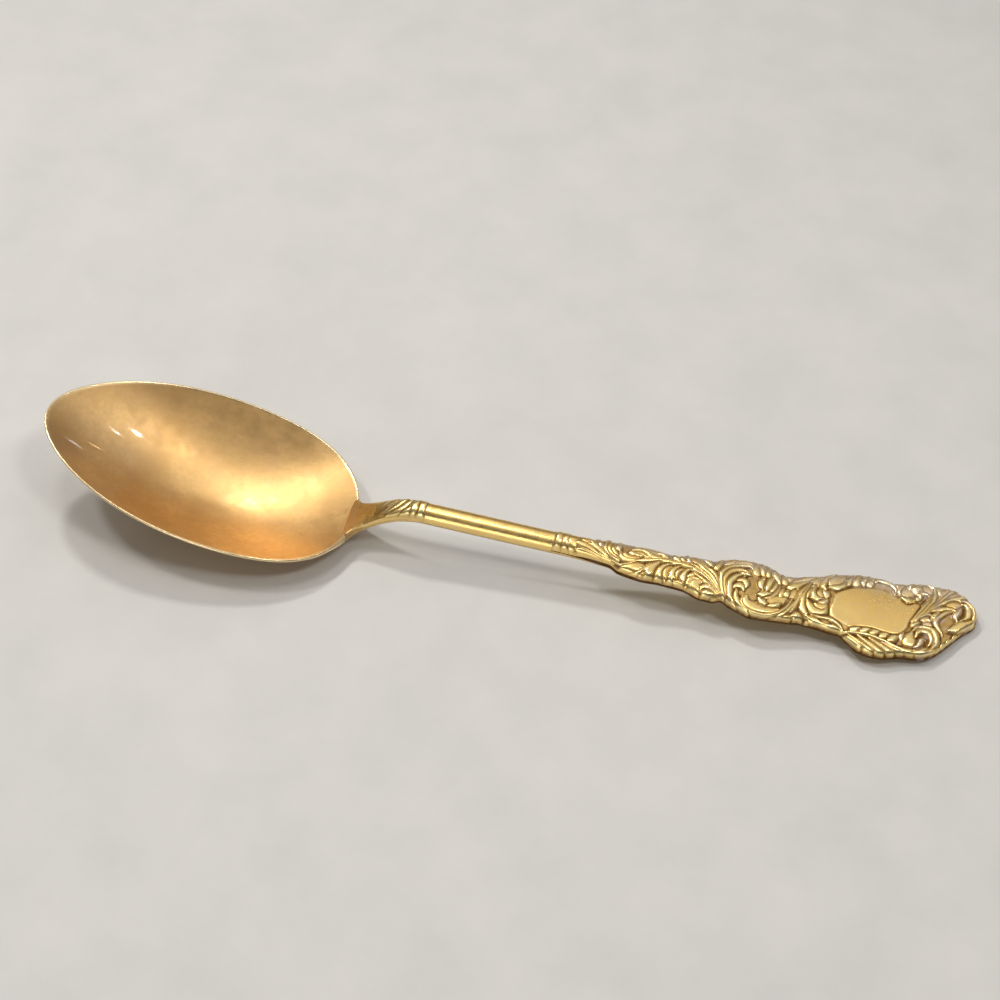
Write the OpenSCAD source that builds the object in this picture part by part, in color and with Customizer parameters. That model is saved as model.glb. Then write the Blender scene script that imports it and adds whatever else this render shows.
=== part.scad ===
// A gilt teaspoon with a pointed egg shaped bowl and a struck handle of leaves and scrolls.
// The spoon lies face up on a table: x runs from the bowl's tip to the handle's end, z points up,
// and the origin is on the table, half way along the spoon. All lengths are in millimetres.

/* [Bowl] */
// Length of the bowl from its tip to its heel
bowl_l = 50.2; // [42:0.2:58]
// Greatest width of the bowl
bowl_w = 30; // [26:0.5:34]
// Distance of the bowl's lowest point from its tip
rest_x = 33; // [28:0.5:36]
// Height of the rim above the table at the bowl's heel
heel_high = 4; // [3:0.1:5]
// Wall at the bottom of the bowl
bowl_wall = 1; // [0.8:0.1:1.4]
// Width of the rim's top edge
rim_wall = 0.6; // [0.5:0.05:1]
// Height of the rim's upright outer edge
rim_edge = 0.4; // [0.2:0.1:0.8]
// Angle that lifts the bowl's tip above its heel, in degrees
rim_tilt = 14; // [10:1:16]
// Height of the heel's upright face, where the neck is brazed on
heel_edge = 2; // [1.6:0.1:2.6]
// How far the heel is cut back to seat the neck
heel_cut = 0.5; // [0.4:0.05:0.6]

/* [Neck and shank] */
// Half width of the neck where it meets the bowl
neck_half = 3.7; // [3.2:0.1:3.8]
// Distance of the neck's upper end from the bowl's tip
neck_end = 62; // [60:0.5:66]
// Radius of the plain round shank
shank_r = 1.7; // [1.4:0.05:2]
// Length of the plain shank
shank_l = 20.3; // [16:0.1:26]
// Height of the shank's middle above the table at its bowl end
shank_high = 8.75; // [7.5:0.05:10]
// Height of the shank's middle above the table at its handle end
shank_low = 7.73; // [6.5:0.01:8.5]

/* [Handle] */
// Length of the whole spoon along its middle line
spoon_l = 148.5; // [140:0.5:156]
// Half width that the handle's outline follows
blade_half = 8; // [7:0.1:9]
// Thickness of the plate at the handle's end, with the ornament
plate_t = 2; // [1.6:0.1:2.6]
// Height of the struck ornament above the plate
relief_h = 0.55; // [0.3:0.05:0.8]
// Length of the collar between the shank and the leaves
collar_l = 2.7; // [2:0.1:3.5]
// Pitch of the rounded lobes under the feather leaf
lobe_pitch = 2.3; // [1.8:0.1:3]
// Pitch of the turns of the scroll knot
scroll_pitch = 1.5; // [1.2:0.1:2]
// Half length of the smooth oval in the cartouche
oval_long = 6.3; // [5:0.1:7]
// Half width of the smooth oval in the cartouche
oval_short = 4.3; // [3.2:0.1:5]
// Radius of the three volutes of the crest
volute_r = 1.9; // [1.5:0.1:2.3]

/* [Hidden] */

// Places along the ornamented handle, as shares of its length, where one section ends
spray_end_share = 0.142;
feather_end_share = 0.411;
knot_end_share = 0.588;
cartouche_end_share = 0.826;

// Outline of the handle: share of its length, then the edge's place as a share of the half width
far_edge_shares = [[0, 0.2125], [0.06, 0.215], [0.106, 0.26], [0.153, 0.325], [0.2, 0.363], [0.25, 0.388],
    [0.285, 0.388], [0.313, 0.46], [0.37, 0.506], [0.388, 0.575], [0.422, 0.688], [0.456, 0.75],
    [0.492, 0.775], [0.518, 0.713], [0.544, 0.638], [0.579, 0.713], [0.624, 0.85], [0.657, 1],
    [0.692, 1.1], [0.739, 1.188], [0.773, 1.2], [0.793, 1.175], [0.823, 1.213], [0.858, 1.313],
    [0.893, 1.36], [0.92, 1.363], [0.941, 1.345], [0.962, 1.263], [0.98, 1.138], [0.994, 0.98], [1, 0.87]];
near_edge_shares = [[0, -0.2125], [0.07, -0.2125], [0.139, -0.238], [0.165, -0.338], [0.195, -0.375],
    [0.22, -0.388], [0.266, -0.35], [0.313, -0.35], [0.363, -0.45], [0.39, -0.438], [0.41, -0.363],
    [0.429, -0.438], [0.455, -0.513], [0.479, -0.563], [0.508, -0.538], [0.54, -0.488], [0.573, -0.438],
    [0.6, -0.388], [0.638, -0.388], [0.666, -0.413], [0.69, -0.4], [0.712, -0.525], [0.737, -0.663],
    [0.77, -0.7], [0.793, -0.675], [0.838, -0.538], [0.864, -0.5], [0.884, -0.463], [0.906, -0.35],
    [0.928, -0.15], [0.947, 0.075], [0.968, 0.338], [0.98, 0.475], [0.994, 0.675], [1, 0.83]];

// How far the section has thinned from the shank's radius to the plate at the handle's end
thin_shares = [[0, 0], [0.04, 0], [0.12, 0.45], [0.25, 0.78], [0.45, 0.94], [0.8, 1], [1, 1]];
// Height of the plate's front without its ornament, as a share of half the plate's thickness
front_share = 0.55;
// Height of the handle's upright edge as a share of the front or back height there
edge_shares = [[0, 0.02], [0.04, 0.02], [0.12, 0.45], [0.25, 0.6], [0.88, 0.75], [1, 0.95]];
// How round the section is: 1 is a circle and 0 is a plate with even spacing
round_shares = [[0, 1], [0.04, 1], [0.14, 0.25], [0.25, 0], [1, 0]];
// Slope of the middle line at the handle's end
end_slope = -0.07;

// The neck's half width as a share of its way from the bowl's flare to the shank's radius
flare_shares = [[0, 0], [0.05, 0.32], [0.1, 0.5], [0.25, 0.71], [0.45, 0.88], [0.7, 0.98], [1, 1]];
// Slope of the middle line where the neck leaves the bowl
neck_slope = 0.8;
// Raised leaf on the neck: its middle and half length as shares of the neck, and its height shares
neck_leaf_share = 0.78;
neck_leaf_reach_share = 0.2;
neck_leaf_height_share = 0.45;
neck_lobe_share = 0.4;
// Height of the neck's edge at the bowl, as a share of its half height
neck_edge_share = 0.4;
// Powers of the arched section: 2 is an ellipse, and a higher one is flatter on top
round_power = 2;
flat_power = 5;

// Shape of the bowl: cubic shares that make the tip narrow and the heel full
egg_shares = [1, -0.1, 0.071, -0.132];
// The worn flat under the bowl, as a share of the way from its lowest point to the rim
worn_share = 0.1;
wall_turn = 78;
heel_half_turn = 26;
heel_fade_share = 0.7;

// Collar: each ring's middle and half width as shares of the collar, and its height share
collar_shares = [[0.3, 0.22, 1], [0.75, 0.2, 0.8]];
// Lobes: their roundness, the valley beside the midrib, and how they fall away from it
lobe_power = 0.6;
lobe_lean = 0.45;
spray_lean = 1.4;
lobe_depth_share = 0.8;
lobe_fall_share = 0.4;
valley_share = 0.5;
long_lobe_factor = 1.5;
// The feather leaf's midrib: share of the handle's length, then share of the half width
midrib_shares = [[0.142, -0.26], [0.177, -0.225], [0.207, -0.11], [0.237, 0.01], [0.267, 0.1],
    [0.305, 0.14], [0.335, 0.1], [0.366, 0], [0.388, -0.2], [0.411, -0.4]];
midrib_width_share = 0.09;

// Centres of the knot, the oval, the fan and the volutes: length share, then half width share
knot_shares = [0.483, 0.08];
oval_shares = [0.745, 0.32];
fan_shares = [0.845, 0.27];
volute_shares = [[0.866, 1], [0.877, -0.07], [0.964, 0.67]];
// Knot: the pocket in its middle and where its turns reach their height
pocket_share = 0.26;
pocket_height_share = 0.3;
turn_fade_share = 0.33;
// Oval: its height, its dome, its brim, and the beaded frame round it
oval_height_share = 0.55;
oval_dome_share = 0.4;
oval_brim_share = 0.06;
frame_share = 0.3;
frame_height_share = 0.75;
bead_turn = 34;
// Crest: the fan's rays and height, and each volute's ring, band, bead and clear space
ray_turn = 17;
fan_height_share = 0.85;
fan_fade_share = 0.1;
ring_share = 0.75;
band_share = 0.4;
bead_share = 0.5;
clear_share = 1.6;
// The relief fades at the outline, and rises along the collar to its full height past it
edge_fade_share = 0.25;
collar_height_share = 0.3;
rise_reach_factor = 3;

// Fineness of the surfaces
ring_count = 15;
turn_count = 68;
across_count = 26;
neck_count = 16;
collar_count = 7;
spray_count = 14;
feather_count = 32;
knot_count = 22;
cartouche_count = 28;
crest_count = 30;
shank_fn = 64;

seat_x = bowl_l - heel_cut;
blade_start = neck_end + shank_l;
blade_l = spoon_l - blade_start;
shank_slope = (shank_low - shank_high) / shank_l;
rim_slope = tan(rim_tilt);
end_half = plate_t / 2;
end_z = end_half * cos(atan(end_slope));
// The neck is as thick as the heel's upright face
neck_rise = heel_edge / 2;
seat_z = heel_high + heel_cut * rim_slope - neck_rise;

// A smooth ridge that is 1 on its line and 0 at its half width
function ridge(d, w) = abs(d) < w ? (1 + cos(180 * d / w)) / 2 : 0;
// A smooth step from 0 to 1
function step01(t) = let(k = min(1, max(0, t))) k * k * (3 - 2 * k);
// A row of rounded lobes with sharp valleys, one for each pitch
function lobes(t) = pow(abs(sin(180 * t)), lobe_power);
// A cubic that leaves one height at one slope and reaches another height at another slope
function bend(t, run, z0, m0, z1, m1) = (2 * pow(t, 3) - 3 * t * t + 1) * z0
    + (pow(t, 3) - 2 * t * t + t) * run * m0 + (3 * t * t - 2 * pow(t, 3)) * z1
    + (pow(t, 3) - t * t) * run * m1;
function bend_slope(t, run, z0, m0, z1, m1) = (6 * t * t - 6 * t) * (z0 - z1) / run
    + (3 * t * t - 4 * t + 1) * m0 + (3 * t * t - 2 * t) * m1;

// The bowl: the rim in plan, drawn in by an inset, at a turn that is 0 at the tip and 180 at the heel
function egg(c) = egg_shares[0] + egg_shares[1] * c + egg_shares[2] * c * c + egg_shares[3] * pow(c, 3);
function rim_at(turn, inset) = let(c = cos(turn))
    [inset + (bowl_l / 2 - inset) * (1 - c), (bowl_w / 2 - inset) * sin(turn) * egg(c)];
// Place in plan at a share of the way from the lowest point to the rim
function plan_at(turn, part, inset) = let(low = [rest_x, 0]) low + (rim_at(turn, inset) - low) * part;
// Height of the rim's plane, and the climb of the wall, an arc that is 0 at the bottom and 1 at the rim
function rim_z(turn, inset) = heel_high + (bowl_l - rim_at(turn, inset)[0]) * rim_slope;
function climb(part) = (1 - cos(wall_turn * part)) / (1 - cos(wall_turn));
// The outside drops at the heel, where the metal is thick
function heel_drop(turn, part) = (heel_edge - rim_edge) * ridge(turn - 180, heel_half_turn)
    * step01((part - heel_fade_share) / (1 - heel_fade_share));
function outer_at(turn, part) = let(p = plan_at(turn, part, 0),
    up = climb(max(0, part - worn_share) / (1 - worn_share)))
    [min(p[0], seat_x), p[1], (rim_z(turn, 0) - rim_edge) * up - heel_drop(turn, part)];
function inner_at(turn, part) = let(p = plan_at(turn, part, rim_wall))
    [p[0], p[1], bowl_wall + (rim_z(turn, rim_wall) - bowl_wall) * climb(part)];
function edge_at(turn) = let(p = rim_at(turn, 0)) [min(p[0], seat_x), p[1], rim_z(turn, 0)];

// Faces of a closed skin of loops: each loop has the same number of points
function skin_faces(loops, count, first) = [for (j = [0:loops - 2], i = [0:count - 1])
    let(a = first + j * count + i, b = first + j * count + (i + 1) % count) each
    [[a, b, b + count], [a, b + count, a + count]]];

module bowl() {
    turns = [for (i = [0:turn_count - 1]) 360 * i / turn_count];
    outside = [for (j = [0:ring_count - 1], t = turns)
        outer_at(t, worn_share + (1 - worn_share) * j / (ring_count - 1))];
    edge = [for (t = turns) edge_at(t)];
    inside = [for (j = [0:ring_count - 1], t = turns) inner_at(t, 1 - j / ring_count)];
    loops = 2 * ring_count + 1;
    last = loops * turn_count;
    points = concat(outside, edge, inside, [outer_at(0, 0), inner_at(0, 0)]);
    bottom = [for (i = [0:turn_count - 1]) [last, (i + 1) % turn_count, i]];
    top = [for (i = [0:turn_count - 1])
        [last + 1, last - turn_count + i, last - turn_count + (i + 1) % turn_count]];
    color("goldenrod") placed() polyhedron(points, concat(skin_faces(loops, turn_count, 0), bottom, top));
}

// The middle line of the spoon from the seat on the bowl to the handle's end
function middle_z(s) = s < neck_end
    ? bend((s - seat_x) / (neck_end - seat_x), neck_end - seat_x, seat_z, neck_slope, shank_high, shank_slope)
    : s < blade_start ? shank_high + shank_slope * (s - neck_end)
    : bend((s - blade_start) / blade_l, blade_l, shank_low, shank_slope, end_z, end_slope);
// Lean of a section: upright at the seat, and square to the middle line from the shank on
function lean_at(s) = s < neck_end ? atan(shank_slope) * (s - seat_x) / (neck_end - seat_x)
    : s < blade_start ? atan(shank_slope)
    : atan(bend_slope((s - blade_start) / blade_l, blade_l, shank_low, shank_slope, end_z, end_slope));

// Shares of the ornamented handle and of the neck at a place on the middle line
function blade_share(s) = min(1, max(0, (s - blade_start) / blade_l));
function neck_share(s) = (s - seat_x) / (neck_end - seat_x);
function far_y(s) = s < neck_end ? neck_half_at(s) : blade_half * lookup(blade_share(s), far_scaled);
function near_y(s) = s < neck_end ? -neck_half_at(s) : blade_half * lookup(blade_share(s), near_scaled);
function neck_half_at(s) = neck_half + (shank_r - neck_half) * lookup(neck_share(s), flare_shares);
// The outline starts at the shank's own radius, whatever the half width is
shank_share = shank_r / blade_half;
far_scaled = concat([[0, shank_share]], [for (i = [1:len(far_edge_shares) - 1]) far_edge_shares[i]]);
near_scaled = concat([[0, -shank_share]], [for (i = [1:len(near_edge_shares) - 1]) near_edge_shares[i]]);

// Ornament on the front: each function gives a share of the relief's height at s along and y across
function along(share) = blade_start + blade_l * share;
function place(shares) = [along(shares[0]), blade_half * shares[1]];
function collar_relief(s) = let(t = (s - blade_start) / collar_l)
    max([for (ring = collar_shares) ring[2] * ridge(t - ring[0], ring[1])]);
function spray_relief(s, y) = lobes((s - along(0) + spray_lean * y) / lobe_pitch)
    * step01((s - blade_start - collar_l) / lobe_pitch);
function feather_relief(s, y) = let(rib = blade_half * lookup(blade_share(s), midrib_shares), d = y - rib,
    lean = s - lobe_lean * abs(d), deep = blade_half * lobe_depth_share)
    max(ridge(d, blade_half * midrib_width_share),
        lobe_depth_share * lobes(lean / (d < 0 ? lobe_pitch : lobe_pitch * long_lobe_factor))
        * step01(abs(d) / lobe_pitch / valley_share) * (1 - lobe_fall_share * abs(d) / deep));
function knot_relief(s, y) = let(v = [s, y] - place(knot_shares), r = norm(v), a = atan2(v[1], v[0]),
    pocket = blade_half * pocket_share)
    r < pocket ? pocket_height_share * (1 - r / pocket) : lobes((r - pocket) / scroll_pitch + a / 360)
        * step01((r - pocket) / scroll_pitch / turn_fade_share);
function oval_reach(s, y) = let(v = [s, y] - place(oval_shares)) norm([v[0] / oval_long, v[1] / oval_short]);
function cartouche_relief(s, y) = let(q = oval_reach(s, y), v = [s, y] - place(oval_shares),
    a = atan2(v[1], v[0]))
    q < 1 ? oval_height_share * (1 - oval_dome_share * q * q) * step01((1 - q) / oval_brim_share)
        : ridge(q - 1 - frame_share / 2, frame_share)
            * (frame_height_share + (1 - frame_height_share) * lobes(a / bead_turn));
function volute_relief(s, y, c) = let(r = norm([s, y] - c))
    max(ridge(r - volute_r * ring_share, volute_r * band_share), ridge(r, volute_r * bead_share));
function fan_relief(s, y) = let(v = [s, y] - place(fan_shares))
    lobes(atan2(v[1], v[0]) / ray_turn) * step01(norm(v) / volute_r);
function crest_relief(s, y) = let(q = oval_reach(s, y), near_volute = max([for (v = volute_shares)
    step01(clear_share - norm([s, y] - place(v)) / volute_r)]))
    max(q < 1 ? cartouche_relief(s, y) : 0,
        fan_height_share * fan_relief(s, y) * (1 - near_volute) * step01((q - 1) / fan_fade_share),
        max([for (v = volute_shares) volute_relief(s, y, place(v))]));
// Neighbouring patterns cross over in a short stretch, so that two sections share one outline
function cross_over(s, share) = step01((s - along(share)) / lobe_pitch + 1 / 2);
function relief_at(s, y) = let(k1 = cross_over(s, spray_end_share), k2 = cross_over(s, feather_end_share),
    k3 = cross_over(s, knot_end_share), k4 = cross_over(s, cartouche_end_share))
    s < blade_start + collar_l ? collar_relief(s)
    : k1 < 1 ? (1 - k1) * spray_relief(s, y) + k1 * feather_relief(s, y)
    : k2 < 1 ? (1 - k2) * feather_relief(s, y) + k2 * knot_relief(s, y)
    : k3 < 1 ? (1 - k3) * knot_relief(s, y) + k3 * cartouche_relief(s, y)
    : (1 - k4) * cartouche_relief(s, y) + k4 * crest_relief(s, y);
// The relief fades at the outline, and at the shank it starts from nothing
function edge_fade(v) = step01((1 - abs(v)) / edge_fade_share);
function collar_rise(s) = let(t = (s - blade_start) / collar_l) step01(t / edge_fade_share)
    * (collar_height_share + (1 - collar_height_share) * step01(t / rise_reach_factor));
function handle_relief(s, y, v) = relief_h * relief_at(s, y) * edge_fade(v) * collar_rise(s);
function neck_relief(s, v) = relief_h * neck_leaf_height_share
    * ridge(neck_share(s) - neck_leaf_share, neck_leaf_reach_share)
    * (1 - neck_lobe_share + neck_lobe_share * cos(360 * v)) * edge_fade(v);

// Height of the front or back surface above the middle line at a share v across, -1 to 1
function arch(v, power) = pow(max(0, 1 - pow(abs(v), power)), 1 / power);
function side_height(high, edge_share, power, v) = high * (edge_share + (1 - edge_share) * arch(v, power));
function neck_height(t, power, v) = side_height(neck_rise + (shank_r - neck_rise) * step01(t),
    neck_edge_share * (1 - t) * (1 - t), power, v);
function blade_height(t, half, v) = let(k = lookup(t, thin_shares))
    side_height(shank_r * (1 - k) + half * k, lookup(t, edge_shares), round_power, v);
function front_at(s, y, v) = let(t = neck_share(s))
    s < neck_end ? neck_height(t, flat_power + (round_power - flat_power) * t, v) + neck_relief(s, v)
    : blade_height(blade_share(s), end_half * front_share, v) + handle_relief(s, y, v);
function back_at(s, v) = s < neck_end ? neck_height(neck_share(s), round_power, v)
    : blade_height(blade_share(s), end_half, v);

// One section as a loop: across the front from the near edge, and back under it
function across(i, roundness) = let(u = 2 * i / across_count - 1)
    u * (1 - roundness) + sin(90 * u) * roundness;
function y_at(s, v) = (far_y(s) * (1 + v) + near_y(s) * (1 - v)) / 2;
function section_point(s, v, w) = [s - w * sin(lean_at(s)), y_at(s, v), middle_z(s) + w * cos(lean_at(s))];
function section_loop(s) = let(roundness = s < neck_end ? 1 : lookup(blade_share(s), round_shares))
    concat([for (i = [0:across_count]) let(v = across(i, roundness))
            section_point(s, v, front_at(s, y_at(s, v), v))],
        [for (i = [across_count:-1:0]) let(v = across(i, roundness))
            section_point(s, v, -back_at(s, v))]);
// The two ends are strips between the front and the back
function cap_faces(base, flip) = let(n = 2 * across_count + 1) [for (i = [0:across_count - 1])
    let(a = base + i, b = base + i + 1, c = base + n - i - 1, d = base + n - i)
    each flip ? [[a, b, c], [a, c, d]] : [[b, a, d], [b, d, c]]];

// A length of the handle between two places on the middle line
module stretch(from, to, count) {
    loop = 2 * across_count + 2;
    points = [for (j = [0:count]) each section_loop(from + (to - from) * j / count)];
    faces = concat(skin_faces(count + 1, loop, 0), cap_faces(0, false), cap_faces(count * loop, true));
    polyhedron(points, faces);
}

module placed() {
    translate([-spoon_l / 2, 0, 0]) children();
}

module neck() {
    color("darkgoldenrod") placed() stretch(seat_x, neck_end, neck_count);
}

module shank() {
    color("gold") placed()
        translate([neck_end, 0, shank_high])
            rotate([0, 90 - atan(shank_slope), 0])
                cylinder(h = shank_l / cos(atan(shank_slope)), r = shank_r, $fn = shank_fn);
}

module collar() {
    color("darkgoldenrod") placed() stretch(blade_start, blade_start + collar_l, collar_count);
}

module leaf_spray() {
    color("goldenrod") placed() stretch(blade_start + collar_l, along(spray_end_share), spray_count);
}

module feather_leaf() {
    color("gold") placed() stretch(along(spray_end_share), along(feather_end_share), feather_count);
}

module scroll_knot() {
    color("goldenrod") placed() stretch(along(feather_end_share), along(knot_end_share), knot_count);
}

module cartouche() {
    color("gold") placed() stretch(along(knot_end_share), along(cartouche_end_share), cartouche_count);
}

module crest() {
    color("darkgoldenrod") placed() stretch(along(cartouche_end_share), spoon_l, crest_count);
}

bowl();
neck();
shank();
collar();
leaf_spray();
feather_leaf();
scroll_knot();
cartouche();
crest();
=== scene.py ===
import math
from functools import partial

import bpy
import numpy as np
from mathutils import Matrix, Vector


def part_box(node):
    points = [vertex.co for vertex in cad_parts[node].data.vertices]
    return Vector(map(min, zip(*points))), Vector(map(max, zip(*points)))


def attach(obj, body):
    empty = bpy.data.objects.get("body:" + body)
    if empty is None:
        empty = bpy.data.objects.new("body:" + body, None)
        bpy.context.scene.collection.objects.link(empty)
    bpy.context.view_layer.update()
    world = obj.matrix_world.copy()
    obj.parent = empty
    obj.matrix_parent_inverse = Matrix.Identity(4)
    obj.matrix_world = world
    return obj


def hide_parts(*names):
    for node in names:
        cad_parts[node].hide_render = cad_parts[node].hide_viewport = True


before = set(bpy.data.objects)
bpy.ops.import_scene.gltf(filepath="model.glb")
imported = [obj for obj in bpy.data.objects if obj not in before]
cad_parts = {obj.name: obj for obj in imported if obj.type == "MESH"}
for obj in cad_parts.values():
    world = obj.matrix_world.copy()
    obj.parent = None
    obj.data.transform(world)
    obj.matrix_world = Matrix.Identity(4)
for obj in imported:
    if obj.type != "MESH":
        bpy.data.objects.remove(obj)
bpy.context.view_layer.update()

# A gilt teaspoon: a pointed bowl, an arched neck, a round shank and a struck handle of leaves and
# scrolls. Places are in millimetres: s runs along the spoon from the bowl's tip, y across it, z up.
MM = 0.001

# Length of the spoon, read from the frame: the origin is half way along it
spoon_l = -2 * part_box("bowl")[0][0] / MM

# Bowl
bowl_l = 50.2
bowl_w = 30.0
rest_x = 33.0
heel_high = 4.0
bowl_wall = 1.0
rim_lip = 0.28
rim_edge = 0.4
rim_tilt = math.radians(14)
heel_edge = 2.0
heel_cut = 0.5
egg_shares = (1, -0.1, 0.071, -0.132)
worn_share = 0.1
wall_turn = math.radians(78)
inside_turn = math.radians(52)
heel_half_turn = math.radians(26)
heel_fade_share = 0.7
# The rounded rim: how far inside the lip it ends, and the pulls of its arc over the edge and the lip
lip_back = 0.08
edge_pull = 0.02
lip_pull = 0.04
lip_pull_share = 0.8

# Neck and shank
neck_half = 3.7
neck_end = 62.0
shank_r = 1.7
shank_l = 20.3
shank_high = 8.75
shank_low = 7.73
neck_slope = 0.8
neck_edge_share = 0.4
round_power = 2.0
flat_power = 5.0
flare_shares = ((0, 0), (0.05, 0.32), (0.1, 0.5), (0.25, 0.71), (0.45, 0.88), (0.7, 0.98), (1, 1))
# The neck's tongue on the bowl's inside: where it starts, its length, thickness and end, and how deep
# its front is sunk, more so at its sides
neck_start = 48.0
tongue_l = 1.75
tongue_t = 0.5
tongue_fade = 1.2
blunt_share = 0.99
sink = 0.07
side_sink_share = 3
side_power = 8
# The soft corner between the bowl's inside and the neck: its size, and where it comes and goes
neck_fillet = 0.6
fillet_start = 48.3
fillet_run = 1.4
fillet_end = 1.5
fillet_fade = 2
# The raised ornament of the neck
neck_ridge_start = 54
neck_ridge_fade = 0.4
neck_side_fade = 0.12
neck_relief_share = 0.65

# Handle
blade_half = 8.0
end_half = 1.0
end_slope = -0.07
relief_h = 0.55
collar_l = 2.7
front_share = 0.55
section_shares = {"leaf_spray": 0.142, "feather_leaf": 0.411, "scroll_knot": 0.588, "cartouche": 0.826,
                  "crest": 1}
far_edge_shares = (
    (0, 0.2125), (0.06, 0.215), (0.106, 0.26), (0.153, 0.325), (0.2, 0.363), (0.25, 0.388), (0.285, 0.388),
    (0.313, 0.46), (0.37, 0.506), (0.388, 0.575), (0.422, 0.688), (0.456, 0.75), (0.492, 0.775),
    (0.518, 0.713), (0.544, 0.638), (0.579, 0.713), (0.624, 0.85), (0.657, 1), (0.692, 1.1), (0.739, 1.188),
    (0.773, 1.2), (0.793, 1.175), (0.823, 1.213), (0.858, 1.313), (0.893, 1.36), (0.92, 1.363),
    (0.941, 1.345), (0.962, 1.263), (0.98, 1.138), (0.994, 0.98), (1, 0.87))
near_edge_shares = (
    (0, -0.2125), (0.07, -0.2125), (0.139, -0.238), (0.165, -0.338), (0.195, -0.375), (0.22, -0.388),
    (0.266, -0.35), (0.313, -0.35), (0.363, -0.45), (0.39, -0.438), (0.41, -0.363), (0.429, -0.438),
    (0.455, -0.513), (0.479, -0.563), (0.508, -0.538), (0.54, -0.488), (0.573, -0.438), (0.6, -0.388),
    (0.638, -0.388), (0.666, -0.413), (0.69, -0.4), (0.712, -0.525), (0.737, -0.663), (0.77, -0.7),
    (0.793, -0.675), (0.838, -0.538), (0.864, -0.5), (0.884, -0.463), (0.906, -0.35), (0.928, -0.15),
    (0.947, 0.075), (0.968, 0.325), (0.98, 0.445), (0.994, 0.57), (1, 0.66))
thin_shares = ((0, 0), (0.04, 0), (0.12, 0.45), (0.25, 0.78), (0.45, 0.94), (0.8, 1), (1, 1))
edge_shares = ((0, 0.02), (0.04, 0.02), (0.12, 0.45), (0.25, 0.6), (0.88, 0.75), (1, 0.95))
round_shares = ((0, 1), (0.04, 1), (0.14, 0.25), (0.25, 0), (1, 0))

# How far the plate is crowned under its ornament, over the CAD's flatter front, and how far its front
# and its back fall away at the outline
crown_h = 0.42
roll_w = 0.9
roll_h = 0.85
roll_end_share = 0.98
bevel_share = 0.15
bevel_width = 0.16
edge_bulge = 0.1
neck_bulge = 0.03

# A ridge swells to this many times the half width named in it where no neighbour stands in its way
swell_reach = 2.3
crown_power = 0.65
crease_power = 0.75
crease_sharpness = 5
merge_gap = 0.3
thin_end_share = 0.6
# The ornament sinks towards the outline, and rises after the blade's start
outline_fade = 0.3
outline_share = 0.4
crease_fade = 0.25
rise_share = 0.25

# Tones: the depth that counts as fully sunk, for the tarnish, and the rise that counts as fully raised,
# for the painted highlight on the ridges; the tarnish of bare ground and of creases; the painted shade on the
# side walls of the rolled edges and under the shank; how the silvery rubbing falls beside a ridge; and a
# silvery tone that grows towards the far edge, from a share across and a place along
hollow_depth = 0.3
proud_rise = 0.15
ground_tone = 0.45
crease_tone = 0.9
neck_crease_tone = 0.8
edge_shade = 1.3
neck_edge_shade = 0.25
under_shade = 0.6
under_from = -0.2
under_rate = 1.6
silver_fall = 1.2
far_silver_tone = 0.75
far_silver_from = 0.4
far_silver_run = 0.4
far_silver_start = 86
far_silver_fade = 6

# The smooth oval: a low dome with a rounded shoulder, in points of a closed curve
oval_edge = (
    (125.8, 1.5), (125.75, 0.2), (126.2, -0.9), (127.4, -1.5), (129, -2.1), (130.8, -1.6), (132.8, -1.3),
    (135, -1.4), (136.9, -1), (138, 0.3), (138.4, 2), (139.2, 4), (139.7, 5.6), (138.6, 6), (137.4, 5.3),
    (136.2, 6.1), (134.6, 6.8), (132.6, 7), (130.6, 6.5), (128.8, 5.8), (127.3, 4.8), (126.1, 3.4))
oval_height = 0.6
oval_shoulder = 0.4
oval_soft = 0.12
oval_middle = (132.3, 2.5)
oval_halves = (8.2, 5.6)
oval_crown = 0.6

# Reach of the mean round a point that tells hollow from proud, in rows and columns
ornament_box = (6, 6)
neck_box = (8, 10)

# Fineness, in points, and in mm along the handle and along a ridge
turn_count = 288
wall_count = 72
rim_count = 10
ray_count = 721
neck_count = 240
shank_count = 60
shank_turn_count = 96
front_count = 216
edge_count = 5
back_count = 36
station_step = 0.06
path_step = 0.1
sharp_angle = math.radians(62)

seat_x = bowl_l - heel_cut
blade_start = neck_end + shank_l
blade_l = spoon_l - blade_start
shank_slope = (shank_low - shank_high) / shank_l
rim_slope = math.tan(rim_tilt)
end_z = end_half * math.cos(math.atan(end_slope))
neck_rise = heel_edge / 2
seat_z = heel_high + heel_cut * rim_slope - neck_rise


def look_up(table, x):
    """Straight lines between the table's points."""
    table = np.asarray(table, float)
    return np.interp(x, table[:, 0], table[:, 1])


def smooth_look_up(table, x):
    """A smooth curve through the table's points that adds no humps: a cubic with harmonic mean slopes."""
    table = np.asarray(table, float)
    xs, ys = table[:, 0], table[:, 1]
    run = np.diff(xs)
    rise = np.diff(ys) / run
    slopes = np.concatenate([rise[:1], np.zeros(len(xs) - 2), rise[-1:]])
    same = rise[:-1] * rise[1:] > 0
    total = np.where(same, rise[:-1] + rise[1:], 1)
    slopes[1:-1] = np.where(same, 2 * rise[:-1] * rise[1:] / total, 0)
    x = np.clip(x, xs[0], xs[-1])
    i = np.clip(np.searchsorted(xs, x, side="right") - 1, 0, len(xs) - 2)
    t = (x - xs[i]) / run[i]
    return (ys[i] + (ys[i + 1] - ys[i]) * t * t * (3 - 2 * t)
            + run[i] * (slopes[i] * t * (1 - t) ** 2 - slopes[i + 1] * t * t * (1 - t)))


def step01(t):
    """A smooth step from 0 to 1."""
    t = np.clip(t, 0, 1)
    return t * t * (3 - 2 * t)


def ridge(d, half):
    """A smooth ridge that is 1 on its line and 0 at its half width."""
    return np.where(np.abs(d) < half, (1 + np.cos(np.pi * np.clip(d / half, -1, 1))) / 2, 0)


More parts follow.
